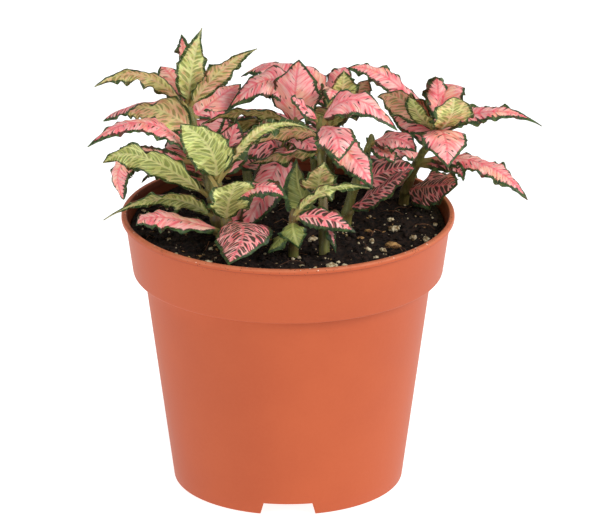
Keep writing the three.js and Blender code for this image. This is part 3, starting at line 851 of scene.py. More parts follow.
bark_finish, tree, shader = new_material("bark", {"Roughness": 0.8, "Specular IOR Level": 0.25})
place = object_place(tree)
along_chip = {"Place": place, "Streaks a metre": 1800.0, "Stretch": (0.25, 1.0, 1.0)}
grain = use_group(tree, grain_group, along_chip)["Grain"]
tree.links.new(mix_colour(tree, grain, BARK_DARK, BARK_LIGHT), shader.inputs["Base Color"])
add_relief(tree, shader, grain, distance=0.0002, strength=0.8)
add_to_mix("bark_chips", bark.mesh("bark_chips"), bark_finish)


# Root fibres: fine brown roots and threads of moss that came in with the peat. They lie on the heap, bent
# and arched up a little.
FIBRE_COUNT = 46
FIBRE_SEED = 31
FIBRE_RADIUS = 0.00009
FIBRE_RADIUS_SHARES = (0.7, 1.6)
FIBRE_SIDES = 5
FIBRE_STEPS = 12
FIBRE_CLEARANCE = 0.004
FIBRE_SHORTEST = 0.005
FIBRE_LONGEST = 0.013
FIBRE_BEND = 1.6
FIBRE_LIFT = 0.0004
FIBRE_ARCH = 0.0016

fibres = Heaped()
draw = random.Random(FIBRE_SEED)
for _ in range(FIBRE_COUNT):
    x, y = random_place(draw, LUMP_FIELD_RADIUS - FIBRE_CLEARANCE)
    heading = draw.uniform(0, 2 * math.pi)
    bend = draw.uniform(-FIBRE_BEND, FIBRE_BEND)
    long = draw.uniform(FIBRE_SHORTEST, FIBRE_LONGEST)
    points = []
    for k in range(FIBRE_STEPS):
        share = k / (FIBRE_STEPS - 1)
        lift = FIBRE_LIFT + FIBRE_ARCH * math.sin(math.pi * share)
        within = min(1, LUMP_FIELD_RADIUS / math.hypot(x, y))
        points.append(on_heap(x * within, y * within, lift))
        x += math.cos(heading + bend * share) * long / FIBRE_STEPS
        y += math.sin(heading + bend * share) * long / FIBRE_STEPS
    fibres.strand(points, FIBRE_RADIUS * draw.uniform(*FIBRE_RADIUS_SHARES), FIBRE_SIDES)

fibre_finish = mineral_finish(
    "root_fibre",
    dark=from_screen(84, 52, 36),
    light=from_screen(138, 98, 70),
    roughness=0.8,
    patches_a_metre=300.0,
    relief=0.0001,
)
add_to_mix("root_fibres", fibres.mesh("root_fibres"), fibre_finish)


# Leafy stems: eleven rooted cuttings of a pink nerve plant, planted together. Each is a soft shoot that
# stands in the mix and carries its leaves in pairs. Those in front stand as in the photograph, and those
# behind, where it doesn't show, follow them.
HOLE_DEPTH = 0.014
STEM_FOOT_RADIUS = 0.0020
STEM_TOP_RADIUS = 0.0012
STEM_LEAN_POWER = 1.4
BUD_TALL = 0.003
BUD_TIP_RADIUS = 0.0003
JOINT_SWELL = 0.28
JOINT_REACH = 0.0014
TIP_POWER = 0.95


class Leaf:
    """One leaf: the height where it leaves its stem, a point half way along its midrib, its tip, its
    width, how far it is rolled about its midrib, how much green is in its net from 0 to 1, and above 1 a
    leaf that is green all over, how pink its underside is from 0 to 1, how far the roll changes on the way
    to the tip, and how finely it is drawn out at its tip."""

    def __init__(self, start, middle, tip, wide, roll, green, blush, twist=0, tip_power=TIP_POWER):
        self.start = start
        self.middle = Vector(middle)
        self.tip = Vector(tip)
        self.wide = wide
        self.roll = math.radians(roll)
        self.green = green
        self.blush = blush
        self.twist = math.radians(twist)
        self.tip_power = tip_power


class LeafyStem:
    """One cutting: its solid in the frame, where its shoot ends, and its leaves."""

    def __init__(self, node, top, leaves):
        self.node = node
        self.foot = Vector((*PLANTED[node], SOIL_Z))
        self.top = Vector(top)
        self.leaves = leaves

    def centre(self, z):
        """The shoot's axis at a height: upright in the mix, then leaning steadily over to its top."""
        share = max(0, min(1, (z - SOIL_Z) / (self.top.z - SOIL_Z))) ** STEM_LEAN_POWER
        centre = self.foot.lerp(self.top, share)
        centre.z = z
        return centre

    def radius(self, z):
        """The shoot's radius: it narrows upwards, swells where leaves grow, and closes round its bud."""
        share = max(0, min(1, (z - SOIL_Z) / (self.top.z - SOIL_Z)))
        grown = STEM_FOOT_RADIUS + (STEM_TOP_RADIUS - STEM_FOOT_RADIUS) * share
        nearest = min(abs(z - leaf.start) for leaf in self.leaves)
        grown *= 1 + JOINT_SWELL * math.exp(-((nearest / JOINT_REACH) ** 2))
        above = max(0, (z - self.top.z) / BUD_TALL)
        return BUD_TIP_RADIUS + (grown - BUD_TIP_RADIUS) * math.sqrt(max(0, 1 - above * above))


STEMS = [
    LeafyStem("leafy_stem_left_tall", top=(-0.036, 0.002, 0.141), leaves=[
        Leaf(0.139, (-0.052, -0.002, 0.154), (-0.069, -0.004, 0.15), 0.01, 50, 0.3, 0.35),
        Leaf(
            0.141, (-0.034, -0.004, 0.158), (-0.0305, -0.008, 0.1735), 0.011, 0, 0.5, 0.15,
            twist=-70, tip_power=1.3,
        ),
        Leaf(0.14, (-0.037, 0.004, 0.157), (-0.038, 0.004, 0.167), 0.006, -70, 0.2, 0.4),
        Leaf(0.14, (-0.024, -0.003, 0.156), (-0.011, -0.006, 0.165), 0.01, -50, 0.5, 0.45, tip_power=1.3),
        Leaf(0.136, (-0.026, 0.016, 0.1383), (-0.017, 0.027, 0.1403), 0.014, 20, 0.1, 0.4),
        Leaf(0.139, (-0.041, 0.01, 0.148), (-0.046, 0.018, 0.15), 0.011, -10, 0.1, 0.4),
        Leaf(0.131, (-0.05, -0.002, 0.142), (-0.066, -0.004, 0.137), 0.018, 110, 0.5, 0.45, twist=-120),
        Leaf(0.108, (-0.051, -0.008, 0.125), (-0.066, -0.012, 0.124), 0.015, 55, 0.8, 0),
        Leaf(0.12, (-0.057, 0.006, 0.119), (-0.059, 0.002, 0.105), 0.01, -60, 0.1, 0.4, tip_power=0.55),
        Leaf(0.112, (-0.043, 0.017, 0.112), (-0.053, 0.02, 0.105), 0.012, -10, 0.5, 0.7),
        Leaf(0.101, (-0.044, -0.012, 0.111), (-0.066, -0.014, 0.103), 0.011, 50, 0.7, 0.05, tip_power=1.5),
        Leaf(0.127, (-0.037, 0.015, 0.13), (-0.037, 0.026, 0.121), 0.013, 0, 0.4, 0.3),
        Leaf(0.114, (-0.026, 0.009, 0.119), (-0.019, 0.016, 0.113), 0.012, 20, 0.3, 0.3),
        Leaf(0.117, (-0.027, 0.008, 0.127), (-0.023, 0.019, 0.132), 0.014, 0, 0.2, 0.4),
        Leaf(0.129, (-0.028, 0.004, 0.134), (-0.022, 0.01, 0.136), 0.01, 30, 0.15, 0.4),
        Leaf(0.114, (-0.038, 0.01, 0.121), (-0.041, 0.022, 0.122), 0.013, 0, 0.4, 0.3),
    ]),
    LeafyStem("leafy_stem_left_front", top=(-0.026, -0.011, 0.119), leaves=[
        Leaf(0.113, (-0.0465, -0.02, 0.141), (-0.071, -0.026, 0.135), 0.012, -12, 0.15, 0.4),
        Leaf(0.098, (-0.044, -0.022, 0.107), (-0.054, -0.021, 0.1035), 0.012, -15, 0.05, 0.4),
        Leaf(0.102, (-0.0158, -0.032, 0.1055), (-0.021, -0.0505, 0.0995), 0.0205, 8, 0.85, 0.1),
        Leaf(
            0.103, (-0.021, -0.022, 0.1135), (-0.018, -0.027, 0.1225), 0.017, 0, 0.7, -0.2,
            tip_power=0.35,
        ),
        Leaf(0.117, (-0.028, -0.02, 0.133), (-0.038, -0.024, 0.143), 0.017, 45, 0.8, -0.2, tip_power=0.8),
        Leaf(0.116, (-0.009, -0.024, 0.141), (0.01, -0.025, 0.1405), 0.006, -55, 0.5, 0.2),
        Leaf(0.1, (-0.0175, -0.003, 0.105), (-0.018, 0.008, 0.106), 0.009, 10, 0.1, 0.4),
        Leaf(0.118, (-0.022, -0.008, 0.127), (-0.018, -0.004, 0.137), 0.015, 20, 0.5, 0.3),
        Leaf(0.108, (-0.01, -0.027, 0.1205), (0.0, -0.033, 0.1175), 0.007, 40, 0.3, 0.3),
    ]),
    LeafyStem("leafy_stem_front_low", top=(0.002, -0.029, 0.11), leaves=[
        Leaf(0.109, (0.013, -0.033, 0.111), (0.024, -0.035, 0.106), 0.009, 35, 0.75, 0.2),
        Leaf(0.11, (0.013, -0.034, 0.122), (0.029, -0.03, 0.121), 0.008, -50, 0.8, 0.1),
        Leaf(0.105, (-0.0025, -0.0345, 0.104), (-0.007, -0.0385, 0.0995), 0.0105, 20, 1.35, 0),
        Leaf(0.107, (0.002, -0.036, 0.107), (0.004, -0.038, 0.101), 0.01, 0, 1.3, 0),
    ]),
    LeafyStem("leafy_stem_front_centre", top=(0.0115, -0.01, 0.138), leaves=[
        Leaf(0.117, (0.011, -0.027, 0.123), (0.013, -0.033, 0.132), 0.013, 0, 0.6, 0.2),
        Leaf(0.107, (0.005, -0.02, 0.114), (0.003, -0.016, 0.127), 0.012, 0, 1.35, 0.3),
        Leaf(0.108, (0.015, -0.031, 0.106), (0.017, -0.034, 0.098), 0.004, 0, 0.6, 0.2),
        Leaf(0.137, (0.017, -0.024, 0.139), (0.018, -0.033, 0.132), 0.014, 10, 0.2, 0.4),
        Leaf(0.135, (0.022, -0.022, 0.131), (0.03, -0.03, 0.121), 0.012, 25, 0.1, 0.4),
        Leaf(0.137, (0.023, -0.012, 0.148), (0.039, -0.014, 0.137), 0.013, 25, 0.1, 0.4),
        Leaf(0.138, (0.005, -0.012, 0.146), (0.001, -0.014, 0.149), 0.008, -30, 0.6, 0.2),
        Leaf(0.134, (0.001, -0.013, 0.137), (-0.013, -0.012, 0.131), 0.013, 45, 0.5, 0.5),
        Leaf(0.129, (0.001, -0.013, 0.1285), (-0.014, -0.009, 0.1225), 0.012, 35, 0.6, 0.4),
    ]),
    LeafyStem("leafy_stem_right_low", top=(0.03, 0.008, 0.125), leaves=[
        Leaf(0.099, (0.033, 0.0, 0.11), (0.0446, -0.002, 0.118), 0.017, 15, 0.85, 0.1, tip_power=0.8),
        Leaf(0.108, (0.036, 0.008, 0.114), (0.046, 0.012, 0.113), 0.014, 40, 0.85, 0.1),
        Leaf(0.124, (0.039, 0.0, 0.129), (0.046, -0.002, 0.1245), 0.0105, 25, 0.3, 0.3),
        Leaf(0.123, (0.035, 0.0, 0.124), (0.038, -0.004, 0.121), 0.008, 0, 0.3, 0.3),
        Leaf(0.12, (0.025, 0.004, 0.122), (0.02, 0.0, 0.121), 0.007, 20, 0.8, 0.2),
        Leaf(0.114, (0.031, 0.018, 0.116), (0.031, 0.026, 0.11), 0.012, 0, 0.5, 0.3),
    ]),
    LeafyStem("leafy_stem_right_tall", top=(0.054, 0.008, 0.13), leaves=[
        Leaf(0.1, (0.052, 0.014, 0.106), (0.061, 0.004, 0.11), 0.017, 40, 0.9, 0.1),
        Leaf(0.114, (0.07, 0.004, 0.118), (0.086, -0.004, 0.107), 0.01, 15, 0.1, 0.4),
        Leaf(0.128, (0.056, -0.004, 0.1315), (0.057, -0.014, 0.123), 0.017, 0, 0.25, 0.4),
        Leaf(0.129, (0.073, 0.004, 0.138), (0.091, 0.002, 0.133), 0.008, 25, 0.05, 0.5, tip_power=1.4),
        Leaf(0.13, (0.058, -0.001, 0.138), (0.059, -0.008, 0.1475), 0.015, 0, 0.8, 0.3, tip_power=0.5),
        Leaf(0.129, (0.041, 0.004, 0.1425), (0.032, 0.002, 0.144), 0.014, 50, 0.5, 0.65),
        Leaf(0.127, (0.044, 0.014, 0.1315), (0.037, 0.016, 0.132), 0.011, -30, 0.3, 0.6),
        Leaf(0.13, (0.057, 0.016, 0.142), (0.063, 0.022, 0.14), 0.014, 0, 0.1, 0.1),
        Leaf(0.131, (0.054, 0.014, 0.141), (0.053, 0.01, 0.149), 0.009, 0, 0.1, 0.4),
        Leaf(0.13, (0.036, 0.014, 0.147), (0.021, 0.016, 0.15), 0.009, -30, 0.1, 0.5),
        Leaf(0.112, (0.059, 0.007, 0.116), (0.063, 0.002, 0.112), 0.005, 60, 0.9, 0),
        Leaf(0.124, (0.06, 0.024, 0.13), (0.064, 0.034, 0.126), 0.013, 0, 0.3, 0.3),
        Leaf(0.119, (0.052, 0.026, 0.123), (0.053, 0.036, 0.115), 0.013, 0, 0.5, 0.2),
        Leaf(0.129, (0.047, 0.002, 0.138), (0.044, 0.0, 0.1465), 0.009, 20, 0.7, 0.2),
    ]),
    LeafyStem("leafy_stem_middle", top=(0.003, 0.008, 0.132), leaves=[
        Leaf(0.131, (0.0025, 0.008, 0.143), (0.004, 0.013, 0.1545), 0.018, 0, 0.1, 0.4),
        Leaf(0.131, (-0.003, 0.028, 0.1453), (-0.017, 0.034, 0.1408), 0.012, -20, 0.1, 0.5),
        Leaf(0.132, (-0.005, 0.015, 0.1462), (-0.022, 0.009, 0.1364), 0.014, -35, 0.1, 0.5),
        Leaf(0.131, (-0.014, 0.002, 0.139), (-0.031, -0.002, 0.135), 0.009, 40, 0.6, 0.15),
        Leaf(0.118, (-0.01, 0.009, 0.125), (-0.026, 0.008, 0.121), 0.016, -30, 0.7, 0.3),
        Leaf(0.108, (-0.02, 0.024, 0.114), (-0.032, 0.026, 0.11), 0.012, 0, 0.6, 0.3),
        Leaf(0.124, (0.006, 0.003, 0.127), (0.01, -0.002, 0.122), 0.014, 0, 0.4, 0.3),
        Leaf(0.114, (-0.002, 0.03, 0.12), (-0.006, 0.043, 0.114), 0.012, 0, 0.5, 0.3),
        Leaf(0.122, (-0.0045, 0.0, 0.117), (-0.0155, -0.014, 0.101), 0.013, -25, 0.2, 0.3, tip_power=0.5),
    ]),
    LeafyStem("leafy_stem_back_centre", top=(0.0155, 0.022, 0.13), leaves=[
        Leaf(0.13, (0.019, 0.014, 0.141), (0.02, 0.008, 0.152), 0.013, 0, 0.4, 0.2),
        Leaf(0.131, (0.0165, 0.007, 0.145), (0.0145, 0.001, 0.142), 0.0095, -20, 0.2, 0.5),
        Leaf(0.13, (0.024, 0.02, 0.14), (0.029, 0.018, 0.145), 0.013, -40, 0.2, 0.8),
        Leaf(0.13, (0.01, 0.028, 0.142), (0.005, 0.03, 0.146), 0.012, 0, 0.1, 0.5),
        Leaf(0.129, (0.018, 0.032, 0.14), (0.021, 0.038, 0.143), 0.011, 0, 0.1, 0.5),
        Leaf(0.124, (0.02, 0.033, 0.128), (0.025, 0.042, 0.121), 0.012, 0, 0.4, 0.3),
        Leaf(0.122, (0.013, 0.04, 0.124), (0.012, 0.052, 0.116), 0.014, 0, 0.5, 0.3),
        Leaf(0.112, (0.026, 0.03, 0.109), (0.034, 0.028, 0.104), 0.013, 0, 0.6, 0.2),
        Leaf(0.12, (0.007, 0.022, 0.1255), (-0.004, 0.021, 0.123), 0.012, 0, 0.5, 0.3),
        Leaf(0.124, (0.014, 0.017, 0.133), (0.011, 0.009, 0.138), 0.013, 0, 0.6, 0.25),
        Leaf(0.112, (0.01, 0.022, 0.119), (0.006, 0.014, 0.1175), 0.012, 0, 0.5, 0.3),
    ]),
    LeafyStem("leafy_stem_back_left", top=(-0.018, 0.04, 0.116), leaves=[
        Leaf(0.115, (-0.03, 0.046, 0.117), (-0.04, 0.05, 0.108), 0.014, 0, 0.3, 0.4),
        Leaf(0.116, (-0.017, 0.054, 0.118), (-0.016, 0.064, 0.106), 0.014, 0, 0.2, 0.4),
        Leaf(0.116, (-0.006, 0.047, 0.121), (0.006, 0.051, 0.117), 0.013, 0, 0.5, 0.3),
        Leaf(0.108, (-0.032, 0.038, 0.112), (-0.044, 0.034, 0.105), 0.013, 0, 0.8, 0.2),
        Leaf(0.113, (-0.01, 0.033, 0.115), (-0.003, 0.03, 0.109), 0.011, 0, 0.6, 0.2),
        Leaf(0.115, (-0.018, 0.033, 0.125), (-0.012, 0.025, 0.128), 0.014, 0, 0.6, 0.2),
    ]),
    LeafyStem("leafy_stem_back_right", top=(0.01, 0.05, 0.11), leaves=[
        Leaf(0.109, (0.019, 0.058, 0.111), (0.026, 0.064, 0.102), 0.014, 0, 0.2, 0.4),
        Leaf(0.11, (0.003, 0.061, 0.112), (-0.004, 0.07, 0.1), 0.013, 0, 0.5, 0.3),
        Leaf(0.104, (0.019, 0.043, 0.107), (0.026, 0.04, 0.102), 0.012, 0, 0.8, 0.2),
    ]),
    LeafyStem("leafy_stem_far_right", top=(0.033, 0.044, 0.108), leaves=[
        Leaf(0.107, (0.043, 0.045, 0.109), (0.053, 0.044, 0.102), 0.013, 0, 0.3, 0.4),
        Leaf(0.107, (0.036, 0.054, 0.109), (0.04, 0.062, 0.1), 0.013, 0, 0.5, 0.3),
        Leaf(0.102, (0.04, 0.036, 0.104), (0.047, 0.031, 0.103), 0.011, 0, 0.8, 0.1),
    ]),
]


# Shoots: the round stem of each cutting is soft and green, and red-brown where it has aged. Low ribs wind
# slowly round it, which turn through so many radians a metre.
STEM_SIDES = 20
STEM_STEP = 0.0006
RIB_HIGH = 0.05
RIB_COUNT = 4
RIB_TURN = 300
SHOOT_PALE = from_screen(134, 134, 68)
SHOOT_DEEP = from_screen(92, 96, 44)
OLD_SHOOT_PALE = from_screen(118, 74, 46)
OLD_SHOOT_DEEP = from_screen(82, 46, 32)

shoot_finish, tree, shader = new_material(
    "green_shoot", {"Roughness": 0.5, "Subsurface Weight": 0.1, "Subsurface Scale": 0.001}
)
place = object_place(tree)
upright = {"Place": place, "Streaks a metre": 900.0, "Stretch": (1.0, 1.0, 0.12)}
streak = use_group(tree, grain_group, upright)["Grain"]
fresh = mix_colour(tree, streak, SHOOT_PALE, SHOOT_DEEP)
old = mix_colour(tree, streak, OLD_SHOOT_PALE, OLD_SHOOT_DEEP)
aged = grade(tree, cloud(tree, place, 60.0), 0.45, 0.75)
tree.links.new(mix_colour(tree, aged, fresh, old), shader.inputs["Base Color"])
add_relief(tree, shader, streak, distance=0.0001, strength=0.5)


def shoot_mesh(stem, name):
    """The round shoot of one cutting, from the bottom of its hole in the mix to the tip of its bud."""
    low = SOIL_Z - HOLE_DEPTH + SOIL_GAP
    high = stem.top.z + BUD_TALL
    steps = round((high - low) / STEM_STEP)
    corners = []
    for i in range(steps + 1):
        z = low + (high - low) * i / steps
        centre = stem.centre(z)
        radius = stem.radius(z)
        for k in range(STEM_SIDES):
            angle = 2 * math.pi * k / STEM_SIDES
            ribbed = radius * (1 + RIB_HIGH * math.cos(RIB_COUNT * angle + z * RIB_TURN))
            corners.append(centre + Vector((ribbed * math.cos(angle), ribbed * math.sin(angle), 0)))
    made = new_mesh(name, corners, tube_faces(0, steps + 1, STEM_SIDES))
    made.materials.append(shoot_finish)
    made.shade_smooth()
    return made


# Hairs: the fine pale down that a young shoot grows all over. Each is a slim spike that is rooted in the
# shoot and stands out from it.
HAIRS_A_STEM = 260
HAIR_LONG = 0.0008
HAIR_RADIUS = 0.000035
HAIR_SIDES = 3
HAIR_SUNK = 0.9
HAIR_RISE = (-0.2, 0.6)
HAIR_SHARES = (0.6, 1.2)
BARE_FOOT = 0.002
HAIR_SEED = 9000
HAIR_TAN = from_screen(206, 196, 170)
HAIR_PALE = from_screen(238, 232, 214)

hair_finish, tree, shader = new_material("stem_hair", {"Roughness": 0.6})
place = object_place(tree)
hair_colour = mix_colour(tree, cloud(tree, place, 400.0), HAIR_TAN, HAIR_PALE)
tree.links.new(hair_colour, shader.inputs["Base Color"])


def hair_mesh(stem, name, draw):
    """The hairs of one shoot: slim three-sided spikes that stand out from it, most of them a little up."""
    corners = []
    faces = []
    for _ in range(HAIRS_A_STEM):
        z = draw.uniform(SOIL_Z + BARE_FOOT, stem.top.z + BUD_TALL / 2)
        angle = draw.uniform(0, 2 * math.pi)
        level = Vector((math.cos(angle), math.sin(angle), 0))
        out = (level + Vector((0, 0, draw.uniform(*HAIR_RISE)))).normalized()
        aside = Vector((-math.sin(angle), math.cos(angle), 0))
        up = out.cross(aside)
        foot = stem.centre(z) + level * (stem.radius(z) * HAIR_SUNK)
        start = len(corners)
        for k in range(HAIR_SIDES):
            turn = 2 * math.pi * k / HAIR_SIDES
            corners.append(foot + (aside * math.cos(turn) + up * math.sin(turn)) * HAIR_RADIUS)
        tip = len(corners)
        corners.append(foot + out * HAIR_LONG * draw.uniform(*HAIR_SHARES))
        faces.append([start + k for k in reversed(range(HAIR_SIDES))])
        faces += [[start + k, start + (k + 1) % HAIR_SIDES, tip] for k in range(HAIR_SIDES)]
    made = new_mesh(name, corners, faces)
    made.materials.append(hair_finish)
    return made


# Blades: each leaf is a thin soft blade on a short thick stalk. It bulges between its side veins, it is
# creased along its midrib and ribbed below it, and its margin is waved, ruffled and uneven. The higher the
# power of its teeth or ruffles, the nearer the margin they start.
BLADE_THICK = 0.00038
PETIOLE_THICK = 0.0015
BLADE_STEP = 0.00042
LEAST_STEPS = 24
BLADE_COLUMNS = 18
ARCH_EXTRA = 1.02
PETIOLE_SHARE = 0.07
STALK_SHARE = 0.22
PETIOLE_HALF = 0.0009
TIP_HALF = 0.00012
ROUND_POWER = 2
FLAT_POWER = 10
BASE_POWER = 0.7
MARGIN_DROP = 0.22
WAVE_HIGH = 0.0009
WAVE_WIDE = 0.07
WAVES = 3
VEIN_SPACING = 0.0031
VEIN_LEAN = 0.75
VEIN_CURVE = 38
QUILT_HIGH = 0.00016
QUILT_REACH = 1.05
QUILT_POWER = 0.7
CREASE_DEEP = 0.0005
CREASE_WIDE = 0.0011
RIDGE_HIGH = 0.00028
RIDGE_WIDE = 0.00045
RUFFLE_HIGH = 0.0031
RUFFLE_LONG = 0.0033
RUFFLE_POWER = 4
LOBE_WIDE = 0.0009
LOBE_LONG = 0.0028
TOOTH_WIDE = 0.0011
TOOTH_LONG = 0.0011
TOOTH_POWER = 5
LIVELINESS = (0.7, 1.3)
DROOP = (0.8, 1.7)
LEAF_SPREAD = 70
KIND_SPREAD = 20
HAND_SPREAD = 5
LEAF_SHARP_ANGLE = math.radians(75)
LEAF_SEEDS_A_STEM = 100
MM_A_METRE = 1000


class Blade:
    """The blade of one leaf, with how lively its ruffles are, how much it droops, and its own seed."""

    def __init__(self, stem, leaf, draw):
        self.leaf = leaf
        self.base = stem.centre(leaf.start)
        self.long = ((leaf.middle - self.base).length + (leaf.tip - leaf.middle).length) * ARCH_EXTRA
        self.liveliness = draw.uniform(*LIVELINESS)
        self.droop = draw.uniform(*DROOP)
        self.seed = draw.random()

    def half_width(self, u):
        """Half the width, a share u of the way from the stem to the tip."""
        tip_power = self.leaf.tip_power
        share = max(0, min(1, (u - PETIOLE_SHARE) / (1 - PETIOLE_SHARE)))
        widest = BASE_POWER / (BASE_POWER + tip_power)
        full = widest**BASE_POWER * (1 - widest) ** tip_power
        grown = self.leaf.wide / 2 * share**BASE_POWER * (1 - share) ** tip_power / full
        least = PETIOLE_HALF if u < 0.5 else TIP_HALF
        return math.sqrt(grown * grown + least * least)

    def midrib(self, u):
        """Where the midrib is, and which ways the blade's side and face point there."""
        leaf = self.leaf
        bend = leaf.middle * 2 - (self.base + leaf.tip) / 2
        point = self.base * (1 - u) ** 2 + bend * (2 * u * (1 - u)) + leaf.tip * u**2
        along = ((bend - self.base) * (1 - u) + (leaf.tip - bend) * u).normalized()
        across = Vector((0, 0, 1)).cross(leaf.tip - self.base).normalized()
        normal = along.cross(across).normalized()
        angle = leaf.roll + leaf.twist * u
        side = across * math.cos(angle) + normal * math.sin(angle)
        face = normal * math.cos(angle) - across * math.sin(angle)
        return point, side, face

    def uneven(self, run, long, kind, hand):
        """A wandering number along one margin, with swings about as long as given."""
        place = (run / long, LEAF_SPREAD * self.seed + KIND_SPREAD * kind, HAND_SPREAD * hand)
        return noise.noise(Vector(place))

    def margin(self, run, hand):
        """How far the margin stands out in its uneven lobes and teeth, and how far it is ruffled."""
        lobe = self.uneven(run, LOBE_LONG, 0, hand)
        tooth = max(0, self.uneven(run, TOOTH_LONG, 1, hand))
        ruffle = self.uneven(run, RUFFLE_LONG, 2, hand)
        return LOBE_WIDE * lobe + TOOTH_WIDE * tooth, RUFFLE_HIGH * ruffle

    def section(self, u):
        """Across the blade at u: for each column its upper and lower skin and its place on the leaf, which
        is its run along the midrib and its distances from midrib and margin, in millimetres."""
        point, side, face = self.midrib(u)
        half = self.half_width(u)
        full = min(1, 2 * half / self.leaf.wide)
        wave = math.cos(2 * math.pi * WAVES * u) * math.sin(math.pi * u)
        stalk = max(0, 1 - u / STALK_SHARE)
        stalk = stalk * stalk * (3 - 2 * stalk)
        thick = BLADE_THICK + (PETIOLE_THICK - BLADE_THICK) * stalk
        edge_power = ROUND_POWER + (FLAT_POWER - ROUND_POWER) * (1 - stalk)
        run = u * self.long
        margins = {hand: self.margin(run, hand) for hand in (-1, 0, 1)}
        columns = []
        for j in range(BLADE_COLUMNS + 1):
            v = math.sin(math.pi / 2 * (2 * j / BLADE_COLUMNS - 1))
            hand = math.copysign(1, v) if v else 0
            tooth, ruffle = margins[hand]
            across = abs(v) * half
            out = v * half * (1 + WAVE_WIDE * wave * hand) + hand * abs(v) ** TOOTH_POWER * full * tooth
            off = (WAVE_HIGH * wave * hand * full - MARGIN_DROP * self.droop * half) * v * v
            off += ruffle * abs(v) ** RUFFLE_POWER * full * self.liveliness
            root = run - VEIN_LEAN * across - VEIN_CURVE * across * across
            quilt = 0.5 - 0.5 * math.cos(2 * math.pi * root / VEIN_SPACING)
            padded = math.sin(math.pi * min(1, abs(v) * QUILT_REACH)) ** QUILT_POWER
            off += QUILT_HIGH * quilt * full * padded
            off -= CREASE_DEEP * math.exp(-((across / CREASE_WIDE) ** 2)) * full * (1 - u)
            ridge = RIDGE_HIGH * math.exp(-((across / RIDGE_WIDE) ** 2)) * (1 - u) * full
            swell = math.sqrt(max(0, 1 - abs(v) ** edge_power)) * thick / 2
            middle = point + side * out + face * off
            place = (run * MM_A_METRE, v * half * MM_A_METRE, (1 - abs(v)) * half * MM_A_METRE)
            columns.append((middle + face * swell, middle - face * (swell + ridge), place))
        return columns


class Foliage:
    """Gathers the blades of one stem in one mesh, with what the finishes need to know at each corner."""

    def __init__(self):
        self.corners = []
        self.places = []
        self.looks = []
        self.faces = []
        self.undersides = []

    def add_corner(self, corner, place, look):
        """Adds a corner, and returns its number."""
        self.corners.append(corner)
        self.places.append(place)
        self.looks.append(look)
        return len(self.corners) - 1

    def add_face(self, corners, underside):
        """Adds a face to the upper skin, or to the underside where that is 1."""
        self.faces.append(corners)
        self.undersides.append(underside)

    def add_leaf(self, stem, leaf, draw):
        """One leaf: two skins that meet along the margin, thick at the stalk and thin in the blade."""
        blade = Blade(stem, leaf, draw)
        look = (leaf.green, leaf.blush, blade.seed)
        steps = max(LEAST_STEPS, round(blade.long / BLADE_STEP))
        upper_rows = []
        lower_rows = []
        for i in range(steps + 1):
            upper = []
            lower = []
            for j, (above, below, place) in enumerate(blade.section(i / steps)):
                at_margin = j in (0, BLADE_COLUMNS)
                upper.append(self.add_corner(above, place, look))
                lower.append(upper[-1] if at_margin else self.add_corner(below, place, look))
            upper_rows.append(upper)
            lower_rows.append(lower)
        for i in range(steps):
            for j in range(BLADE_COLUMNS):
                for rows, underside in ((upper_rows, 0), (lower_rows, 1)):
                    face = [rows[i][j], rows[i + 1][j], rows[i + 1][j + 1], rows[i][j + 1]]
                    self.add_face(face[::-1] if underside else face, underside)
        for end, order in ((0, 1), (steps, -1)):
            ring = upper_rows[end] + lower_rows[end][-2:0:-1]
            self.add_face(ring[::order], 0)

    def mesh(self, name, finishes):
        """One smooth mesh of all the blades, with the finishes of the upper face and the underside."""
        made = new_mesh(name, self.corners, self.faces)
        for finish in finishes:
            made.materials.append(finish)
        made.polygons.foreach_set("material_index", self.undersides)
        for label, rows in (("leaf_place", self.places), ("leaf_look", self.looks)):
            held = made.attributes.new(label, "FLOAT_VECTOR", "POINT")
            held.data.foreach_set("vector", [value for row in rows for value in row])
        made.shade_smooth()
        made.set_sharp_from_angle(angle=LEAF_SHARP_ANGLE)
        return made


# Leaf net: the veins of a leaf, and the spots between them that stay green, in cells that are stretched
# along the side veins. Its distances are in millimetres. A pair of them is how far from its middle a line
# or patch starts to show, and how near it shows in full.
SEED_SPREAD = 57.0
CELL_ALONG = 2.1
CELL_ACROSS = 4.2
CELL_WANDER = 0.45
WANDER_SCALE = 0.9
CLOSING_RAGGED = 1.6
CLOSING = (2.9, 1.1)
SPOT_EDGE_OPEN = 0.41
SPOT_EDGE_CLOSED = 0.07
SPOT_SOFT = 0.06
LATERAL_LINE = (0.26, 0.08)
LATERAL_SHARE = 0.75
MIDRIB_LINE = (0.55, 0.25)
MARGIN_SCALE = 2.6
MARGIN_RAGGED = -1.7
MARGIN_LINE = (0.32, 0.08)
STALK_HALF = (1.9, 1.1)
STALK_RUN = (9.0, 5.0)
STREAKS_ALONG = 0.7
STREAKS_ACROSS = 0.2

net_group, given, wanted = new_group(
    "leaf_net",
    {"Place": "NodeSocketVector", "Green": "NodeSocketFloat", "Seed": "NodeSocketFloat"},
    {
        "Spots": "NodeSocketFloat",
        "Veins": "NodeSocketFloat",
        "Streaks": "NodeSocketFloat",
        "Margin": "NodeSocketFloat",
        "Stalk": "NodeSocketFloat",
        "Relief": "NodeSocketFloat",
    },
)
green = given.outputs["Green"]
seed = given.outputs["Seed"]
run, across, to_margin = add_node(
    net_group, "ShaderNodeSeparateXYZ", {"Vector": given.outputs["Place"]}
).outputs
aside = calculate(net_group, "ABSOLUTE", across)
root = calculate(net_group, "MULTIPLY_ADD", aside, -VEIN_LEAN, run)
aside_squared = calculate(net_group, "MULTIPLY", aside, aside)
curve = calculate(net_group, "MULTIPLY", aside_squared, -VEIN_CURVE / MM_A_METRE)
root = calculate(net_group, "ADD", root, curve)
shifted = calculate(net_group, "MULTIPLY_ADD", seed, SEED_SPREAD, root)


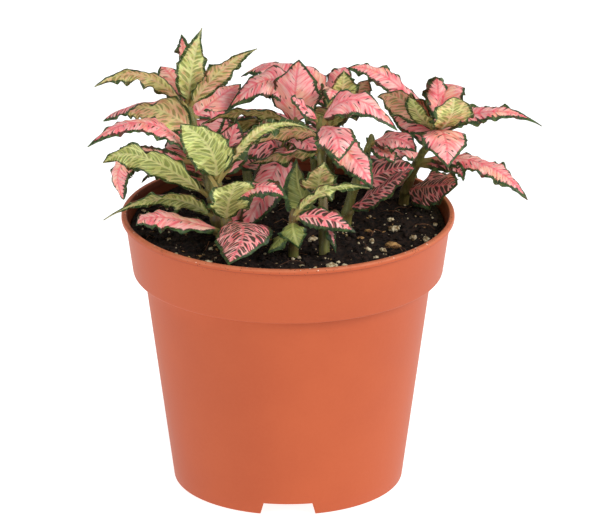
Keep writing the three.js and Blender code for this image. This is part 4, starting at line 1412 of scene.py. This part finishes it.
def leaf_vector(x, y, z):
    """A place for the noises of the leaf net."""
    return add_node(net_group, "ShaderNodeCombineXYZ", {"X": x, "Y": y, "Z": z}).outputs["Vector"]


own_root = leaf_vector(shifted, across, seed)
wander = cloud(net_group, own_root, WANDER_SCALE, detail=3.0)
wander_off = between(net_group, wander, -CELL_WANDER, CELL_WANDER)
wandered = calculate(net_group, "ADD", shifted, wander_off)
cell_run = calculate(net_group, "DIVIDE", wandered, CELL_ALONG)
cell_across = calculate(net_group, "DIVIDE", across, CELL_ACROSS)
cells = add_node(
    net_group,
    "ShaderNodeTexVoronoi",
    {"Vector": leaf_vector(cell_run, cell_across, 0.0), "Scale": 1.0, "Randomness": 0.9},
    voronoi_dimensions="2D",
    feature="DISTANCE_TO_EDGE",
)
from_vein = cells.outputs["Distance"]

# The greener the leaf and the nearer its margin, the nearer to the veins the spots reach.
ragged = calculate(net_group, "MULTIPLY_ADD", wander, CLOSING_RAGGED, to_margin)
closing = grade(net_group, ragged, *CLOSING)
open_share = calculate(net_group, "SUBTRACT", 1.0, green)
greened = calculate(net_group, "MULTIPLY_ADD", closing, open_share, green)
spot_edge = between(net_group, greened, SPOT_EDGE_OPEN, SPOT_EDGE_CLOSED)
spots = grade(net_group, from_vein, spot_edge, calculate(net_group, "ADD", spot_edge, SPOT_SOFT))

lateral = calculate(net_group, "PINGPONG", root, VEIN_SPACING * MM_A_METRE / 2)
lateral_line = calculate(net_group, "MULTIPLY", grade(net_group, lateral, *LATERAL_LINE), LATERAL_SHARE)
veins = calculate(net_group, "MAXIMUM", lateral_line, grade(net_group, aside, *MIDRIB_LINE))
spots = calculate(net_group, "MULTIPLY", spots, between(net_group, veins, 1.0, 0.3))
edge_noise = cloud(net_group, own_root, MARGIN_SCALE, detail=2.0)
to_edge = calculate(net_group, "MULTIPLY_ADD", edge_noise, MARGIN_RAGGED, to_margin)
narrow = grade(net_group, calculate(net_group, "ADD", aside, to_margin), *STALK_HALF)
streak_run = calculate(net_group, "MULTIPLY", shifted, STREAKS_ALONG)
streak_across = calculate(net_group, "MULTIPLY", across, STREAKS_ACROSS)
streaks = cloud(net_group, leaf_vector(streak_run, streak_across, seed), 1.0, detail=3.0)
put_out(
    net_group,
    wanted,
    {
        "Spots": spots,
        "Veins": veins,
        "Streaks": grade(net_group, streaks, 0.3, 0.72),
        "Margin": grade(net_group, to_edge, *MARGIN_LINE),
        "Stalk": calculate(net_group, "MULTIPLY", narrow, grade(net_group, run, *STALK_RUN)),
        "Relief": calculate(
            net_group, "MULTIPLY_ADD", veins, -1.0, calculate(net_group, "MULTIPLY", from_vein, 2.0)
        ),
    },
)


def read_leaf(tree):
    """What the mesh says of a leaf: the place on it, that place moved by the leaf's seed, so that no two
    leaves have the same patches, how green and how blushed the leaf is, and its seed."""
    place = add_node(tree, "ShaderNodeAttribute", attribute_name="leaf_place").outputs["Vector"]
    look = add_node(tree, "ShaderNodeAttribute", attribute_name="leaf_look").outputs["Vector"]
    green, blush, seed = add_node(tree, "ShaderNodeSeparateXYZ", {"Vector": look}).outputs
    spread = calculate(tree, "MULTIPLY", seed, SEED_SPREAD)
    own_place = add_node(tree, "ShaderNodeVectorMath", {0: place, 1: spread}, operation="ADD")
    return place, own_place.outputs["Vector"], green, blush, seed


# Upper face: pink to peach, with a dark green margin and dark green spots that leave a net of pink veins.
# Some young leaves are green all over.
PINK_PALE = from_screen(255, 200, 192)
PINK_DEEP = from_screen(250, 112, 124)
PEACH_PALE = from_screen(255, 206, 178)
PEACH_DEEP = from_screen(246, 156, 132)
PINK_VEIN = from_screen(234, 70, 96)
NET_BROWN = from_screen(52, 28, 34)
NET_GREEN = from_screen(50, 66, 38)
EDGE_DARK = from_screen(30, 48, 28)
EDGE_LIGHT = from_screen(78, 102, 52)
EDGE_SCORCHED = from_screen(84, 50, 36)
YOUNG_PALE = from_screen(150, 156, 84)
YOUNG_DEEP = from_screen(88, 100, 44)
YOUNG_VEIN = from_screen(186, 188, 116)
UPPER_STALK = from_screen(168, 150, 92)
LEAF_GLOSS = {"Specular IOR Level": 0.28, "Subsurface Weight": 0.12, "Subsurface Scale": 0.001}
LEAF_RELIEF = 0.00012
UPPER_ROUGHNESS = (0.38, 0.58)
PEACH_SCALE = 0.1
TONE_SCALE = 0.8
SCORCH_SCALE = 0.16

upper_finish, tree, shader = new_material("leaf_upper_face", LEAF_GLOSS)
place, own_place, green, blush, seed = read_leaf(tree)
net = use_group(tree, net_group, {"Place": place, "Green": green, "Seed": seed})
pink = mix_colour(tree, net["Streaks"], PINK_PALE, PINK_DEEP)
peach = mix_colour(tree, net["Streaks"], PEACH_PALE, PEACH_DEEP)
peachy = grade(tree, cloud(tree, own_place, PEACH_SCALE, detail=2.0), 0.46, 0.68)
pink = layer(tree, pink, peach, peachy, grade(tree, green, 0.4, 0.15))
pink = layer(tree, pink, PINK_VEIN, net["Veins"], 0.5)
tone = cloud(tree, own_place, TONE_SCALE, detail=3.0)
toned = grade(tree, tone, 0.3, 0.72)
dark = mix_colour(tree, toned, NET_BROWN, NET_GREEN)
leafy = layer(tree, pink, dark, net["Spots"], 0.94)
young = mix_colour(tree, net["Streaks"], YOUNG_PALE, YOUNG_DEEP)
young = layer(tree, young, YOUNG_VEIN, net["Veins"], 0.6)
leafy = mix_colour(tree, grade(tree, green, 1.1, 1.3), leafy, young)
scorched = grade(tree, cloud(tree, own_place, SCORCH_SCALE), 0.56, 0.66)
edging = mix_colour(tree, scorched, mix_colour(tree, toned, EDGE_DARK, EDGE_LIGHT), EDGE_SCORCHED)
leafy = layer(tree, leafy, edging, net["Margin"])
leafy = layer(tree, leafy, UPPER_STALK, net["Stalk"])
tree.links.new(leafy, shader.inputs["Base Color"])
tree.links.new(between(tree, tone, *UPPER_ROUGHNESS), shader.inputs["Roughness"])
add_relief(tree, shader, net["Relief"], distance=LEAF_RELIEF, strength=0.7)

# Underside: yellow-green to salmon, with olive spots between raised pale veins. The spots are much the
# same on every leaf, because an underside's share of green changes less than that of the upper face.
YELLOW_PALE = from_screen(232, 236, 160)
YELLOW_DEEP = from_screen(190, 202, 110)
SALMON_PALE = from_screen(246, 190, 162)
SALMON_DEEP = from_screen(222, 140, 116)
OLIVE_DARK = from_screen(92, 112, 40)
OLIVE_LIGHT = from_screen(134, 146, 66)
UNDER_EDGE = from_screen(54, 76, 34)
UNDER_SCORCHED = from_screen(92, 56, 36)
UNDER_VEIN = from_screen(224, 220, 160)
UNDER_STALK = from_screen(176, 164, 98)
UNDER_ROUGHNESS = (0.45, 0.55)
UNDER_GREEN = (0.5, 0.9)
BLUSH_SCALE = 0.2

under_finish, tree, shader = new_material("leaf_underside", LEAF_GLOSS)
place, own_place, green, blush, seed = read_leaf(tree)
under_green = between(tree, green, *UNDER_GREEN)
net = use_group(tree, net_group, {"Place": place, "Green": under_green, "Seed": seed})
yellow = mix_colour(tree, net["Streaks"], YELLOW_PALE, YELLOW_DEEP)
salmon = mix_colour(tree, net["Streaks"], SALMON_PALE, SALMON_DEEP)
patchy = between(tree, cloud(tree, own_place, BLUSH_SCALE), -0.7, 0.9)
blushed = grade(tree, calculate(tree, "ADD", blush, patchy), 0.15, 0.85)
body = mix_colour(tree, blushed, yellow, salmon)
olive = mix_colour(tree, cloud(tree, own_place, TONE_SCALE), OLIVE_DARK, OLIVE_LIGHT)
leafy = layer(tree, body, olive, net["Spots"], 0.66)
scorched = grade(tree, cloud(tree, own_place, SCORCH_SCALE), 0.56, 0.66)
leafy = layer(tree, leafy, mix_colour(tree, scorched, UNDER_EDGE, UNDER_SCORCHED), net["Margin"])
leafy = layer(tree, leafy, UNDER_VEIN, net["Veins"], 0.4)
leafy = layer(tree, leafy, UNDER_STALK, net["Stalk"])
tree.links.new(leafy, shader.inputs["Base Color"])
tree.links.new(between(tree, net["Streaks"], *UNDER_ROUGHNESS), shader.inputs["Roughness"])
raised = calculate(tree, "MULTIPLY", net["Relief"], -1.0)
add_relief(tree, shader, raised, distance=LEAF_RELIEF, strength=0.7)


# Each cutting: its leaves, its shoot and its hairs stand for its one solid.
for number, stem in enumerate(STEMS):
    spot = stem.node.removeprefix("leafy_stem_")
    foliage = Foliage()
    for index, leaf in enumerate(stem.leaves):
        foliage.add_leaf(stem, leaf, random.Random(LEAF_SEEDS_A_STEM * number + index))
    hair_draw = random.Random(HAIR_SEED + number)
    grown_parts = [
        link_object(f"leaves_{spot}", foliage.mesh(f"leaves_{spot}", [upper_finish, under_finish])),
        link_object(f"shoot_{spot}", shoot_mesh(stem, f"shoot_{spot}")),
        link_object(f"hairs_{spot}", hair_mesh(stem, f"hairs_{spot}", hair_draw)),
    ]
    for part in grown_parts:
        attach(part, "root")
        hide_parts(stem.node)
